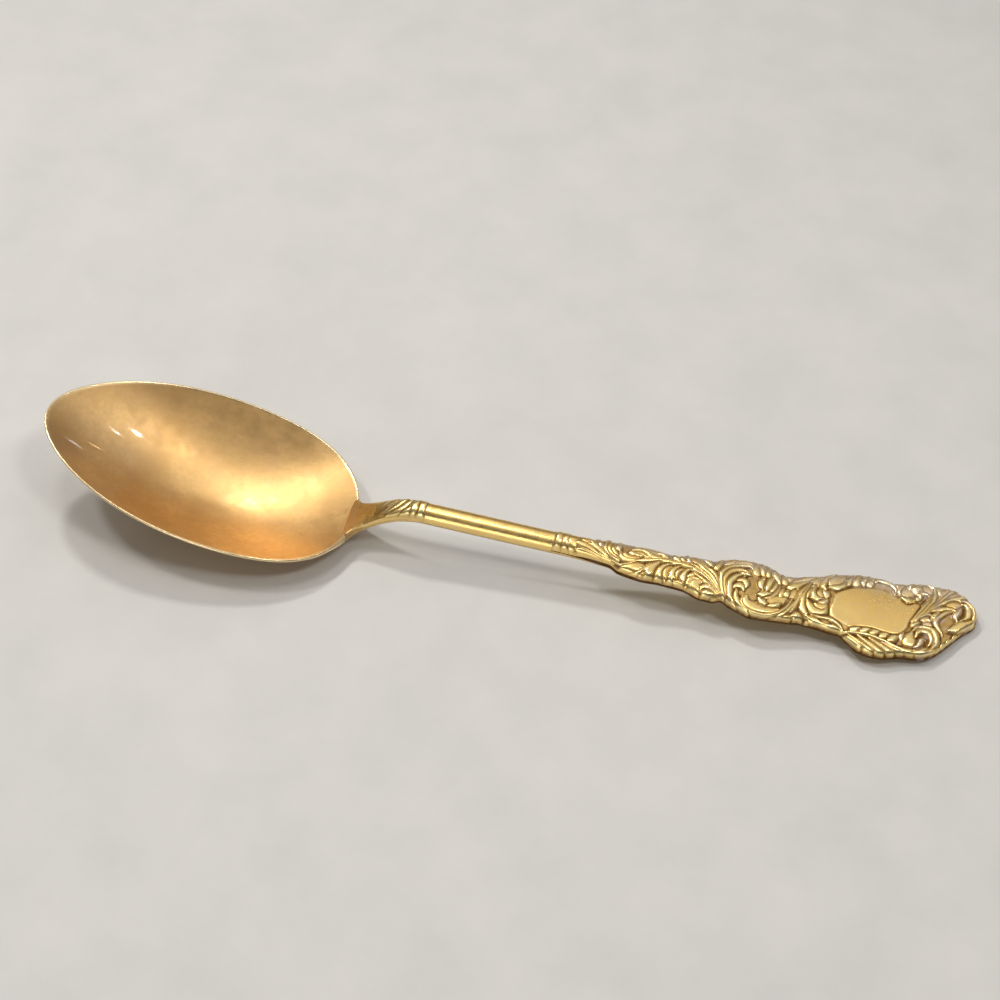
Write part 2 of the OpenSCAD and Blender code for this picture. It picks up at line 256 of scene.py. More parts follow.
def bend(t, run, z0, m0, z1, m1):
    """Height and slope of a cubic that leaves z0 at slope m0 and reaches z1 at slope m1."""
    z = ((2 * t**3 - 3 * t**2 + 1) * z0 + (t**3 - 2 * t**2 + t) * run * m0
         + (3 * t**2 - 2 * t**3) * z1 + (t**3 - t**2) * run * m1)
    m = (6 * t**2 - 6 * t) * (z0 - z1) / run + (3 * t**2 - 4 * t + 1) * m0 + (3 * t**2 - 2 * t) * m1
    return z, m


def new_piece(node, points, faces, material, layers):
    """A mesh piece from points in millimetres from the tip, which replaces its node and rides on root."""
    points = np.asarray(points, float).reshape(-1, 3).copy()
    points[:, 0] -= spoon_l / 2
    mesh = bpy.data.meshes.new(node + "_skin")
    mesh.from_pydata((points * MM).tolist(), [], faces)
    mesh.polygons.foreach_set("use_smooth", [True] * len(mesh.polygons))
    for label, values in layers.items():
        layer = mesh.attributes.new(label, "FLOAT", "POINT")
        layer.data.foreach_set("value", np.ascontiguousarray(values, np.float32).ravel())
    mesh.set_sharp_from_angle(angle=sharp_angle)
    mesh.materials.append(material)
    mesh.update()
    piece = bpy.data.objects.new(node + "_skin", mesh)
    bpy.context.scene.collection.objects.link(piece)
    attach(piece, "root")
    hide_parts(node)
    return piece


def skin_faces(loops, count):
    """Four sided faces between closed loops that follow each other, count points in each."""
    j, i = np.meshgrid(np.arange(loops - 1), np.arange(count), indexing="ij")
    a = (j * count + i).ravel()
    b = (j * count + (i + 1) % count).ravel()
    return np.stack([a, b, b + count, a + count], axis=1).tolist()


def closed_skin(loops, middles):
    """Points and faces of closed loops that follow each other, with a fan of triangles from a middle point
    over the first loop, and another over the last."""
    count = loops.shape[1]
    faces = skin_faces(len(loops), count)
    base = len(loops) * count
    for i in range(count):
        j = (i + 1) % count
        faces += [[base, j, i], [base + 1, base - count + i, base - count + j]]
    return np.concatenate([loops.reshape(-1, 3), middles]), faces


# The bowl


def rim_plan(turn, inset):
    """The rim in plan, drawn in by inset: an ellipse whose width follows a cubic, an egg shape."""
    c = np.cos(turn)
    egg = egg_shares[0] + egg_shares[1] * c + egg_shares[2] * c**2 + egg_shares[3] * c**3
    return inset + (bowl_l / 2 - inset) * (1 - c), (bowl_w / 2 - inset) * np.sin(turn) * egg


def climb(part, turn=wall_turn):
    """The wall's climb, part of an arc: 0 at the bottom and 1 at the rim."""
    return (1 - np.cos(turn * part)) / (1 - math.cos(turn))


def rim_height(turn, inset):
    """Height of the rim's tilted plane."""
    return heel_high + (bowl_l - rim_plan(turn, inset)[0]) * rim_slope


def bowl_outside(turn, part):
    """The outside: from the lowest point out to the rim, up an arc, and lower at the thick heel."""
    x, y = rim_plan(turn, 0)
    up = climb(np.maximum(0, part - worn_share) / (1 - worn_share))
    drop = (heel_edge - rim_edge) * ridge(turn - np.pi, heel_half_turn) * step01(
        (part - heel_fade_share) / (1 - heel_fade_share))
    x = np.minimum(rest_x + (x - rest_x) * part, seat_x)
    return np.stack([x, y * part, (rim_height(turn, 0) - rim_edge) * up - drop], axis=-1)


def bowl_inside(turn, part):
    """The inside: a rounder arc from the bottom's wall up to the rim's thin inner edge."""
    x, y = rim_plan(turn, rim_lip)
    z = bowl_wall + (rim_height(turn, rim_lip) - bowl_wall) * climb(part, inside_turn)
    return np.stack([np.minimum(rest_x + (x - rest_x) * part, seat_x), y * part, z], axis=-1)


def heel_inside(s, y):
    """Height of the inside at places near the heel: the ray from the lowest point through the place
    gives the turn, and how far along that ray the place lies gives the part."""
    turns = np.linspace(np.pi / 2, 3 * np.pi / 2, ray_count)
    x, rim_y = rim_plan(turns, rim_lip)
    rays = -np.arctan2(rim_y, x - rest_x)
    turn = np.interp(-np.arctan2(y, s - rest_x), rays, turns)
    part = np.hypot(s - rest_x, y) / np.interp(turn, turns, np.hypot(x - rest_x, rim_y))
    return bowl_inside(turn, part)[..., 2]


def make_bowl(material):
    """Loops round the bowl: up the outside, over a rounded rim (a cubic arc), and down the inside."""
    turns = np.linspace(0, 2 * np.pi, turn_count, endpoint=False)
    outside = [bowl_outside(turns, part) for part in np.linspace(worn_share, 1, wall_count)]
    x, y = rim_plan(turns, rim_lip)
    shoulder = 1 - lip_back / np.hypot(x - rest_x, y)
    inside = [bowl_inside(turns, shoulder * part) for part in np.linspace(1, 0, wall_count + 1)[:-1]]
    x, y = rim_plan(turns, 0)
    over_edge = np.stack([np.minimum(x, seat_x), y, rim_height(turns, 0) + edge_pull], axis=-1)
    inset = rim_lip * lip_pull_share
    over_lip = np.stack([*rim_plan(turns, inset), rim_height(turns, inset) + lip_pull], axis=-1)
    t = np.linspace(0, 1, rim_count + 2)[1:-1, None, None]
    rim = ((1 - t)**3 * outside[-1] + 3 * (1 - t)**2 * t * over_edge + 3 * (1 - t) * t**2 * over_lip
           + t**3 * inside[0])
    loops = np.concatenate([outside, rim, inside])
    points, faces = closed_skin(loops, [bowl_outside(0.0, 0.0), bowl_inside(0.0, 0.0)])
    edge = np.zeros(len(points))
    # The rim's rows are painted paler in the material: partly rubbing, partly a painted highlight on the lip.
    edge[(wall_count - 1) * turn_count:(wall_count + rim_count + 1) * turn_count] = 1
    piece = new_piece("bowl", points, [face[::-1] for face in faces], material, {"worn": edge})


# The handle's plain form


def neck_share(s):
    return (s - seat_x) / (neck_end - seat_x)


def blade_share(s):
    return np.clip((s - blade_start) / blade_l, 0, 1)


def middle_line(s):
    """Height and lean of the middle line: a cubic up from the bowl, a straight shank, a cubic to the end."""
    on_neck = np.maximum(neck_share(s), 0)
    neck_z, _ = bend(on_neck, neck_end - seat_x, seat_z, neck_slope, shank_high, shank_slope)
    neck_z = neck_z + neck_slope * np.minimum(s - seat_x, 0)
    blade_z, blade_m = bend(blade_share(s), blade_l, shank_low, shank_slope, end_z, end_slope)
    shank_z = shank_high + shank_slope * (s - neck_end)
    z = np.where(s < neck_end, neck_z, np.where(s < blade_start, shank_z, blade_z))
    lean = np.where(s < neck_end, math.atan(shank_slope) * on_neck,
                    np.where(s < blade_start, math.atan(shank_slope), np.arctan(blade_m)))
    return z, lean


def edges_y(s):
    """The far and near edges: the tongue's rounded end, the neck's flare, then the handle's outline."""
    neck = neck_half + (shank_r - neck_half) * smooth_look_up(flare_shares, neck_share(s))
    neck = neck * np.sqrt(1 - np.clip((seat_x - s) / tongue_l, 0, blunt_share) ** 2)
    far = np.where(s < neck_end, neck, blade_half * smooth_look_up(far_edge_shares, blade_share(s)))
    near = np.where(s < neck_end, -neck, blade_half * smooth_look_up(near_edge_shares, blade_share(s)))
    return far, near


def y_at(s, v):
    """The place across at a share v, which is -1 at the near edge and 1 at the far one."""
    far, near = edges_y(s)
    return (far * (1 + v) + near * (1 - v)) / 2


def from_outline(s, y):
    """Distance to the nearest of the far edge, the near edge and the end."""
    far, near = edges_y(s)
    return np.minimum(np.minimum(far - y, y - near), spoon_l - s)


def side_height(high, edge_share, power, v):
    """An arched half section: an upright edge, and an arch over it."""
    arch = np.maximum(0, 1 - np.abs(v) ** power) ** (1 / power)
    return high * (edge_share + (1 - edge_share) * arch)


def plain_height(s, v, front):
    """Height of the plain front or back above the middle line, at a share v across."""
    t = np.maximum(neck_share(s), 0)
    power = flat_power + (round_power - flat_power) * np.clip(t, 0, 1) if front else round_power
    upright = neck_edge_share * (1 - np.minimum(t, 1))**2
    neck = side_height(neck_rise + (shank_r - neck_rise) * step01(t), upright, power, v)
    k = look_up(thin_shares, blade_share(s))
    half = end_half * (front_share if front else 1)
    blade = side_height(shank_r * (1 - k) + half * k, look_up(edge_shares, blade_share(s)), round_power, v)
    return np.where(s < neck_end, neck, blade)


def back_bevel(s, v):
    """The back's edges are rolled up, on the flat part of the handle: 1 inside, less at the outline."""
    flat = look_up(thin_shares, blade_share(s))
    return 1 - bevel_share * flat * step01((np.abs(v) - 1 + bevel_width) / bevel_width)


def front_roll(s, v):
    """How far the flat part's front falls away at its outline, as a quarter of an ellipse."""
    t = np.clip(1 - from_outline(s, y_at(s, v)) / roll_w, 0, roll_end_share)
    return roll_h * look_up(thin_shares, blade_share(s)) * (1 - np.sqrt(1 - t * t))


def section_point(s, y, w):
    """A point at a place on the middle line, across it, and a height above it, square to its lean."""
    z, lean = middle_line(s)
    places = np.broadcast_arrays(s - w * np.sin(lean), y, z + w * np.cos(lean))
    return np.stack(places, axis=-1)


def spread_across(s, count):
    """Shares across the section: even on the plate, and gathered at the edges where it is round."""
    u = np.linspace(-1, 1, count + 1)[None, :]
    roundness = np.where(s < neck_end, 1, look_up(round_shares, blade_share(s)))
    return u * (1 - roundness) + np.sin(np.pi / 2 * u) * roundness


# The struck ornament


def smooth_path(points):
    """Closely spaced points on a Catmull-Rom curve through a few chosen ones."""
    p = np.asarray(points, float)
    p = np.concatenate([2 * p[:1] - p[1:2], p, 2 * p[-1:] - p[-2:-1]])
    path = []
    for a, b, c, d in zip(p[:-3], p[1:-2], p[2:-1], p[3:]):
        count = max(2, int(np.hypot(*(c - b)) / path_step))
        t = np.linspace(0, 1, count, endpoint=False)[:, None]
        path.append(0.5 * (2 * b + (c - a) * t + (2 * a - 5 * b + 4 * c - d) * t**2
                           + (3 * b - a - 3 * c + d) * t**3))
    return np.concatenate(path + [p[-2:-1]])


def struck(taper, height, half, *points, silver=0, scoop=0):
    """One struck ridge: its taper, height share, half width in mm, and the few points of its crest. It may
    be silvery, or scooped out along its middle."""
    return {"taper": taper, "height": height, "half": half, "path": smooth_path(points),
            "silver": silver, "scoop": scoop}


# The forms of ridges: their half width from start to end, as shares of the greatest
band = partial(struck, ((0, 1), (1, 1)))
leaf = partial(struck, ((0, 0.2), (0.25, 0.8), (0.5, 1), (0.75, 0.8), (1, 0.2)))
drop = partial(struck, ((0, 0.25), (0.3, 0.55), (0.6, 0.85), (0.85, 1), (1, 0.9)))
tail = partial(struck, ((0, 0.9), (0.2, 1), (0.5, 0.75), (0.75, 0.5), (1, 0.2)))

# Rings round the collar and the lobe where the leaves start
collar_ridges = [
    band(0.6, 0.6, (82.95, 1.7), (82.95, -1.7)),
    band(0.5, 0.4, (84.33, 1.7), (84.33, -1.7)),
    leaf(0.42, 0.75, (85.6, 1.6), (85.4, 0), (85.3, -1.7)),
]

# The first leaves: two long strands and three nested curls
spray_ridges = [
    tail(0.75, 0.55, (86.2, -0.3), (87.2, -0.5), (88.3, -0.85), (89.6, -1.35), (91, -1.6), (92.6, -1.9)),
    leaf(0.55, 0.4, (86.1, -1.3), (87.2, -1.35), (88.6, -1.55), (90.4, -1.75)),
    leaf(0.95, 0.75, (87.5, 1.1), (88.3, 0.3), (89.2, -0.3), (90, -0.9), (91.2, -1.4)),
    drop(0.8, 0.45, (88.9, 1.9), (89.4, 1.1), (89.6, 0.3), silver=0.9),
    leaf(0.5, 0.5, (86.3, 1.5), (87.3, 0.8), (88.1, 0.2)),
    band(0.85, 0.26, (90.6, 2), (90.35, 0.9), (90.45, 0), (90.95, -0.75), (91.7, -1.25), (92.6, -1.6)),
    leaf(0.7, 0.33, (91.2, 1.9), (91, 0.8), (91.2, -0.1), (91.9, -0.8), (92.9, -1.2)),
    leaf(0.6, 0.3, (91.8, 1.5), (91.6, 0.5), (92, -0.2), (92.8, -0.7)),
    drop(0.7, 0.33, (92.6, 2.3), (92.3, 1.5), (92.3, 0.7), silver=0.8),
]

# The long leaf: a curved midrib with parallel strands, rounded lobes under it, small leaves over it
feather_ridges = [
    leaf(1, 0.3, (92.6, -2), (93.5, -2.05), (94.5, -1.6), (95.4, -0.9), (96.5, -0.35), (98, 0.2),
         (99.3, 0.65), (101, 0.82), (102.8, 0.95), (104.2, 0.65), (105.6, 0.1), (107, -0.8), (108.2, -1.9),
         (109.4, -3)),
    leaf(0.7, 0.35, (92.9, 0.3), (93, -0.5), (93.8, -0.85), (95, -0.75), (96.2, -0.15)),
    leaf(0.55, 0.35, (93.4, 0.5), (93.7, -0.2), (94.6, -0.35), (95.8, 0)),
    drop(0.8, 0.5, (96.3, 0.5), (95.6, 0.5), (94.9, 0.4)),
    leaf(0.75, 0.42, (94.6, 1.2), (95.6, 1.75), (96.7, 1.65), (97.7, 1.1), (98.9, 1.05), (99.6, 1.3)),
    leaf(0.5, 0.3, (95, 1), (96, 0.95), (97.2, 0.6)),
    leaf(0.45, 0.5, (95.6, 2.5), (97, 2.5), (98.4, 2.2), (99.8, 2), scoop=0.3),
    leaf(0.5, 0.3, (98.2, 1.9), (99.2, 2.05), (100.1, 1.5)),
    leaf(0.75, 0.32, (101.1, 3.1), (101.3, 2.2), (101.8, 1.6), (102.3, 1.3)),
    leaf(0.6, 0.28, (102.2, 3.2), (102.25, 2.3), (102.9, 1.6)),
    drop(0.85, 0.3, (102.9, 3.7), (103.1, 2.8), (103.4, 2), silver=1),
    leaf(0.6, 0.7, (103.8, 3.7), (104.6, 2.8), (105.6, 2.2), (106.6, 1.5), scoop=0.25),
    leaf(0.55, 0.45, (105.2, 3.9), (106.2, 3.2), (107, 2.4), silver=0.5),
    drop(0.75, 0.36, (108.5, 4.8), (108.1, 3.5), (107.75, 2.3)),
    leaf(0.8, 0.22, (103.5, 1.7), (104.6, 1.3), (105.7, 0.62), (106.7, -0.02), (107.7, -0.85), (108.5, -1.7),
         (109.3, -2.7)),
    leaf(0.85, 0.3, (103.7, 2.1), (105, 1.75), (106, 1.1), (107.1, 0.4), (107.9, -0.5), (108.6, -1.4),
         (109.3, -2.5)),
    leaf(0.6, 0.3, (106.2, 1.9), (107.2, 1.2), (107.9, 0.4), (108.5, -0.8), (109.1, -2)),
    leaf(0.75, 0.75, (93.4, -2.6), (94.6, -2.35), (95.8, -1.8), (96.7, -1.2)),
    leaf(0.85, 0.3, (92.6, -2.6), (93.4, -3), (94.8, -3.15), (95.9, -2.9), (96.6, -2.2), (97, -1.3)),
    leaf(0.5, 0.35, (95.9, -3.2), (96.6, -2.9), (97.1, -2.2)),
    drop(0.9, 0.6, (99, 0.2), (98.3, -0.6), (97.8, -1.6), (97.6, -2.8)),
    drop(0.8, 0.42, (100.5, 0.35), (99.8, -0.4), (99.4, -1.4), (99.3, -2.5)),
    leaf(0.5, 0.33, (100.9, 0), (100.3, -0.8), (100.2, -1.8), (100.5, -2.7)),
    drop(0.9, 0.5, (102.1, 0.4), (101.5, -0.4), (101.25, -1.3), (101.45, -2.3)),
    drop(0.7, 0.36, (101.3, -1.9), (101.9, -2.5), (102.9, -2.6)),
    leaf(0.6, 0.25, (102.9, 0.2), (102.2, -0.4), (101.95, -1.2), (102.1, -2)),
    drop(0.9, 0.37, (104, 0.45), (103.3, -0.1), (103.05, -0.9), (103.1, -1.9)),
    drop(0.7, 0.26, (103.5, -1.2), (103.9, -0.75), (104.5, -0.5)),
    leaf(0.6, 0.25, (105.6, -1), (104.6, -0.95), (104, -1.5), (103.75, -2.4), (103.6, -3)),
    drop(0.85, 0.7, (105.9, -1.2), (105.1, -1.7), (105, -2.6), scoop=0.15),
    leaf(0.7, 0.24, (104.4, 0), (105.6, -0.6), (106.8, -1.3), (107.9, -2.1), (109, -2.9)),
    leaf(0.65, 0.26, (105.9, -2.9), (106.2, -2.1), (107, -1.8), (107.9, -2.25), (108.9, -2.95)),
    drop(0.8, 0.42, (108.7, -2.8), (107.7, -2.95), (106.9, -3.2)),
    drop(0.55, 0.3, (109.2, -3), (108.5, -3.3), (108.1, -3.5)),
]

# The scroll knot: nested C scrolls round a smooth pocket and a tulip shaped lobe
knot_ridges = [
    leaf(0.9, 0.36, (109.8, -3.1), (109.2, -1.6), (108.8, -0.2), (108.65, 0.9), (108.85, 1.9), (109.5, 2.8),
         (110.6, 3.65), (111.7, 4.15), (112.7, 4.3), (113.3, 3.7)),
    leaf(0.7, 0.3, (110, -2.7), (109.6, -1.3), (109.25, 0), (109.35, 1.2), (109.8, 2.2), (110.5, 2.8),
         (111.4, 3.15), (112.2, 3.15), (112.9, 2.75)),
    leaf(0.55, 0.45, (108.9, 3.4), (109.7, 4.2), (110.4, 4.9), (111.3, 5.5), silver=0.6),
    leaf(0.5, 0.45, (110.4, 4.3), (111.5, 4.95), (112.6, 5.3), (113.2, 5.7), silver=0.4),
    leaf(1, 0.42, (112.6, -4.3), (111.3, -3.6), (110.6, -2.6), (110.2, -1.6), (110.05, -0.4), (110.25, 0.5),
         (110.8, 1.4), (111.5, 2), (112.3, 2.3)),
    tail(1, 0.5, (113.6, -4.3), (112.5, -3.75), (111.75, -2.9), (111.3, -1.9), (111.35, -0.9)),
    leaf(0.75, 0.3, (110.8, -0.9), (111.1, -0.2), (111.7, 0.05), (112.2, -0.25), (112.45, -0.9)),
    leaf(0.7, 0.3, (111.1, 0.7), (111.7, 1.15), (112.35, 1.1), (112.7, 0.5), (112.6, -0.2)),
    drop(0.8, 0.28, (113.1, 2.45), (112.4, 2.55), (111.8, 2.35), silver=0.5),
    leaf(0.85, 0.7, (113, -1.5), (113.1, -2.5), (113.9, -3.2), (115.3, -3.45), (116.9, -3.2), (118.2, -2.4)),
    leaf(0.95, 0.28, (112.55, -1.5), (112.35, -2.5), (112.8, -3.4), (113.8, -4), (115.2, -4.15),
         (116.7, -3.9), (118, -3.2), (119, -2.2), (119.6, -1), (119.95, 0.2)),
    leaf(0.9, 0.36, (112.6, -4.4), (114, -4.75), (115.4, -4.7), (116.8, -4.4), (118.2, -3.8), (119.3, -2.7),
         (120, -1.5), (120.5, -0.2), (120.8, 1.2)),
    drop(1, 0.45, (114.8, -1.4), (115.3, -1.8), (115.85, -2.2)),
    leaf(0.85, 0.38, (116.5, -2.35), (117.3, -2), (118.4, -1.2)),
    leaf(0.5, 0.5, (119, -0.1), (118.1, -0.6), (117.1, -1), (116.2, -1.5), scoop=0.4),
    leaf(0.75, 0.34, (115.3, 3.1), (114.95, 2), (114.95, 1), (115.25, 0.3)),
    leaf(0.9, 0.42, (116.5, 3.5), (116.25, 2.2), (116, 1.1), (115.8, 0.2)),
    leaf(0.8, 0.3, (117.2, 2.8), (117.1, 1.8), (116.85, 0.9), (116.4, 0.2)),
    leaf(1, 0.42, (116.8, 0.1), (116.1, -0.35), (115.4, -0.6), (114.6, -0.7)),
    leaf(0.6, 0.22, (117.8, 2.1), (117.65, 1), (117.2, 0), (116.4, -0.8), (115.5, -1.15)),
    leaf(0.55, 0.3, (118.4, 1.9), (118.2, 0.6), (118, -0.2)),
    band(0.95, 0.4, (118.75, 0.75), (119, 0.85)),
    leaf(0.7, 0.36, (116.4, 5.2), (116.9, 4.1), (117.35, 3.3), (117.7, 2.4), silver=0.7),
    drop(0.6, 0.38, (113.3, 5.9), (113.6, 5), (113.8, 4.2), (113.95, 3.5)),
    drop(0.65, 0.35, (114.4, 5.9), (114.6, 4.9), (114.95, 3.7)),
    drop(0.6, 0.32, (115.6, 5.5), (115.6, 4.5), (115.7, 3.7)),
    drop(0.7, 0.36, (117.9, 4.9), (118.2, 4), (118.5, 3.1)),
    leaf(0.55, 0.36, (119.2, 5), (119.1, 4.2), (119, 3.4)),
    drop(0.95, 0.5, (121.9, 4.4), (121, 3.7), (120.2, 3), (119.6, 2.45)),
    leaf(0.6, 0.4, (119.6, 3.6), (120.6, 4.3), (121.5, 5.1), (122.6, 5.8), (123.8, 6.5), silver=0.5),
    leaf(0.75, 0.28, (119.2, -3.2), (120.1, -2), (120.6, -0.6), (120.9, 0.8), (121.2, 2.2), (121.9, 3.5),
         (122.6, 4.6)),
    drop(0.95, 0.5, (120.2, -2.9), (121.2, -2.75)),
    leaf(0.7, 0.4, (116.8, -4.1), (118.2, -3.8), (119.5, -3.3), (120.6, -3.1)),
    leaf(0.5, 0.36, (119.5, 0.3), (120, 1.2), (120.3, 2.2)),
]

# The scrolls left of the oval, the broad roll under it, and the lobed frame over it
cartouche_ridges = [
    leaf(1, 0.4, (122.4, 4.4), (121.9, 2.8), (121.45, 1.4), (121.5, 0.2), (121.9, -1.1), (122.6, -2.2),
         (123.4, -3)),
    leaf(0.75, 0.3, (122.7, 3.6), (122.3, 2.2), (122.1, 1)),
    leaf(0.95, 0.42, (123.1, 4.3), (122.8, 3), (123.1, 2.05), (123.8, 1.6), (124.8, 1.8)),
    leaf(0.6, 0.5, (123.9, 3.5), (124, 2.7), (124.6, 2.3)),
    leaf(1, 0.5, (122.1, 1), (122.5, 0), (123.2, -0.6), (124.2, -0.8), (125, -0.5), (125.45, 0.3)),
    leaf(0.65, 0.45, (123.4, 0.6), (124.1, 0.2), (124.9, 0.5), (125.2, 1.2)),
    leaf(0.6, 0.3, (124, 1), (124.8, 1.25), (125.3, 2.1), silver=0.4),
    leaf(0.9, 0.28, (123.2, -1.7), (124.6, -1.75), (126, -1.65), (127, -1.85), (127.8, -2.3), (128.4, -2.8)),
    leaf(1, 0.7, (122.4, -2), (123.6, -2.7), (125.2, -3.05), (126.8, -3), (128.2, -2.9)),
    leaf(0.4, 0.3, (124.4, -2.1), (125.5, -2.2), (126.6, -2.3)),
    leaf(0.6, 0.35, (126.2, 7.9), (125, 6.9), (124.35, 5.7), (124.3, 4.6), (124.8, 3.8)),
    leaf(0.6, 0.6, (127.4, 7.2), (126.5, 6.7), (125.7, 6), (125.3, 5.2), scoop=0.3),
    leaf(0.95, 0.35, (125.1, 4.4), (126, 4.6), (126.9, 5), (127.5, 5.7), (127.7, 6.5)),
    drop(0.6, 0.4, (124.4, 3.6), (124.9, 2.9), silver=0.6),
    leaf(0.45, 0.6, (123, 6.1), (123.2, 5.2), (123.5, 4.2)),
    leaf(0.75, 0.36, (128.8, 8.6), (128.4, 7.4), (128.1, 6.3), (127.8, 5.5), silver=0.3),
    drop(0.85, 0.5, (129.7, 9), (129.3, 7.8), (129.35, 6.9)),
    drop(0.7, 0.38, (131.2, 9.2), (130.6, 8.1), (130.3, 7.3), silver=0.5),
    drop(0.65, 0.38, (131.8, 9), (131.45, 7.9), (131.3, 7.4)),
    leaf(0.9, 0.28, (132.1, 8), (132.8, 8.5), (134, 8.55), (134.9, 8.2), (135.4, 7.6), (135.5, 6.8)),
    leaf(0.4, 0.4, (132.1, 9.3), (133.4, 9.45), (134.7, 9.3)),
    leaf(0.65, 0.28, (135.9, 9.4), (135.7, 8.5), (135.7, 7.8), silver=0.6),
]

# The end: a lobe over the oval, a broad band of strands, a fan of rays and two volutes
crest_ridges = [
    leaf(1, 0.5, (136.3, 6.3), (137, 5.8), (137.9, 5.75), (138.6, 6.3)),
    leaf(0.65, 0.36, (136.8, 9.8), (136.2, 8.6), (136, 7.5), (136.2, 6.9)),
    leaf(0.45, 0.7, (137.1, 8.6), (137.3, 7.7), (137.5, 6.9), scoop=0.4),
    leaf(0.6, 0.26, (139, 7.6), (139, 6.9), (138.8, 6.3)),
    leaf(0.85, 0.28, (138.5, 10.5), (137.9, 9.8), (137.6, 9), (137.6, 8.2), silver=0.9),
    drop(0.95, 0.6, (139.2, 10.2), (138.8, 9.3), (138.6, 8.6)),
    leaf(0.8, 0.28, (139.35, 8.4), (139.2, 7.6), (139.4, 6.8), silver=0.9),
    leaf(0.8, 0.22, (139.4, 8), (140, 8.2), (140.7, 8), silver=0.9),
    leaf(0.5, 0.6, (141, 9.6), (140.3, 9.3), (139.9, 8.8), scoop=0.3),
    leaf(0.85, 0.3, (139.1, 10.5), (140.2, 10.5), (141, 10), (141.5, 9.1), (141.6, 8.2), (141.3, 7),
         (140.8, 5.8), (140.2, 4.6), (139.5, 3.4), (138.8, 2.3), (138.4, 1.4)),
    leaf(1, 0.3, (140.8, 8), (140.7, 6.8), (140.2, 5.6), (139.6, 4.4), (138.9, 3.1), (138.4, 2)),
    leaf(0.8, 0.26, (142, 7), (141.4, 6), (140.9, 4.9), (140.2, 3.9), (139.5, 2.9), (138.9, 1.8)),
    drop(0.65, 0.4, (142.1, 10.8), (142.2, 9.9), (142.4, 9), silver=0.9),
    drop(0.6, 0.32, (142.9, 10.6), (142.9, 9.9), (142.8, 9.3), silver=0.7),
    tail(0.65, 0.3, (143.7, 10.7), (143, 9.4), (142.4, 8.2), (141.9, 7.2)),
    tail(0.8, 0.4, (144.6, 10.6), (143.8, 9.6), (143.1, 8.6), (142.4, 7.4), (141.8, 6.5)),
    tail(1, 0.48, (146.2, 9.5), (145.3, 8.95), (144.2, 8.2), (143, 7.2), (142, 6.2), (141, 5)),
    leaf(0.6, 0.3, (145.5, 10.2), (144.6, 9.4), (143.6, 8.4)),
    leaf(0.75, 0.3, (145.2, 6.1), (144.4, 6.35), (143.3, 6.1), (142.2, 5.6), (141, 4.8)),
    leaf(0.55, 0.45, (145.8, 7.6), (144.6, 7.5), (143.4, 6.9)),
    leaf(0.95, 0.36, (145.7, 8.5), (146.7, 8.5), (147.6, 7.6), (148, 6.5), (147.9, 5.4), (147.6, 4.8)),
    leaf(1, 0.6, (148, 5.4), (147.3, 4.3), (146.4, 3.5), (145.4, 2.8), (144.2, 2.1)),
    leaf(0.85, 0.32, (145.7, 7.8), (146.4, 7.8), (147, 7.1), (147.1, 6.2), (146.9, 5.4), (146.4, 4.9),
         (145.8, 4.5)),
    leaf(0.9, 0.3, (145.8, 7), (145.5, 6.2), (145.15, 5.5), (145.1, 4.8), (145.4, 4.2), silver=0.9),
    leaf(0.75, 0.26, (144.6, 6), (143.7, 5.5), (143, 4.8), (142.4, 4), (142.15, 3.2), (142.4, 2.4),
         (143, 1.6), (143.5, 0.9), silver=0.4),
    leaf(1, 0.55, (142.8, -1.8), (141.9, -2.8), (140.6, -3.35), (139.2, -3.5)),
    drop(0.95, 0.34, (142.6, 5.3), (142.2, 4.6), (141.85, 3.8)),
    leaf(0.9, 0.27, (138.7, 2), (139.4, 2.9), (140.2, 3.7), (141, 4.1), (141.8, 4)),
    leaf(0.55, 0.3, (139.9, 2.7), (140.7, 3.2), (141.5, 3.1), silver=0.6),
    leaf(0.5, 0.3, (140.3, 2), (141, 2.4), (141.7, 2.2), silver=0.6),
    leaf(0.8, 0.3, (138.5, 1), (139, 1.7), (139.8, 2.3)),
    leaf(0.95, 0.3, (138.8, 0.3), (139.6, 1.2), (140.8, 1.5), (141.9, 1.2), (142.5, 0.3), (142.7, -0.9),
         (142.1, -2.1), (141.1, -2.8)),
    leaf(0.85, 0.27, (139.4, -0.8), (139.6, 0.1), (140.2, 0.7), (141, 0.8), (141.7, 0.3), (141.9, -0.7),
         (141.5, -1.7)),
    leaf(0.9, 0.28, (141, -0.8), (140.4, -0.95), (140.2, -1.6), (139.95, -2.2), (139.4, -2.6), silver=0.9),
    drop(1, 0.62, (138.75, 0), (138.55, -1), (138.6, -1.8)),
    leaf(0.6, 0.24, (137.5, 0), (137.3, -0.9), (137.3, -2), silver=0.5),
    leaf(0.45, 0.36, (147.2, 9), (147.9, 8), (148.3, 7)),
]

# A leaf that curls over the neck, the lobe at its upper end, and the ring before the shank
neck_ridges = [
    leaf(0.9, 0.42, (55, -1.2), (56, -0.75), (57, 0), (57.9, 0.9), (58.6, 1.4)),
    leaf(0.75, 0.34, (55.8, -1.7), (57, -1.3), (58, -0.6), (58.9, 0.3), (59.5, 1.1)),
    leaf(0.6, 0.36, (54.6, 0.3), (55.5, 0.7), (56.6, 1.2), (57.4, 1.7)),
    drop(1, 0.55, (60.6, 1), (60.1, 0.1), (59.9, -0.8)),
    leaf(0.75, 0.34, (58, -1.7), (59, -1.3), (59.5, -0.4)),
    band(0.55, 0.4, (61.3, 1.6), (61.3, -1.6)),
]


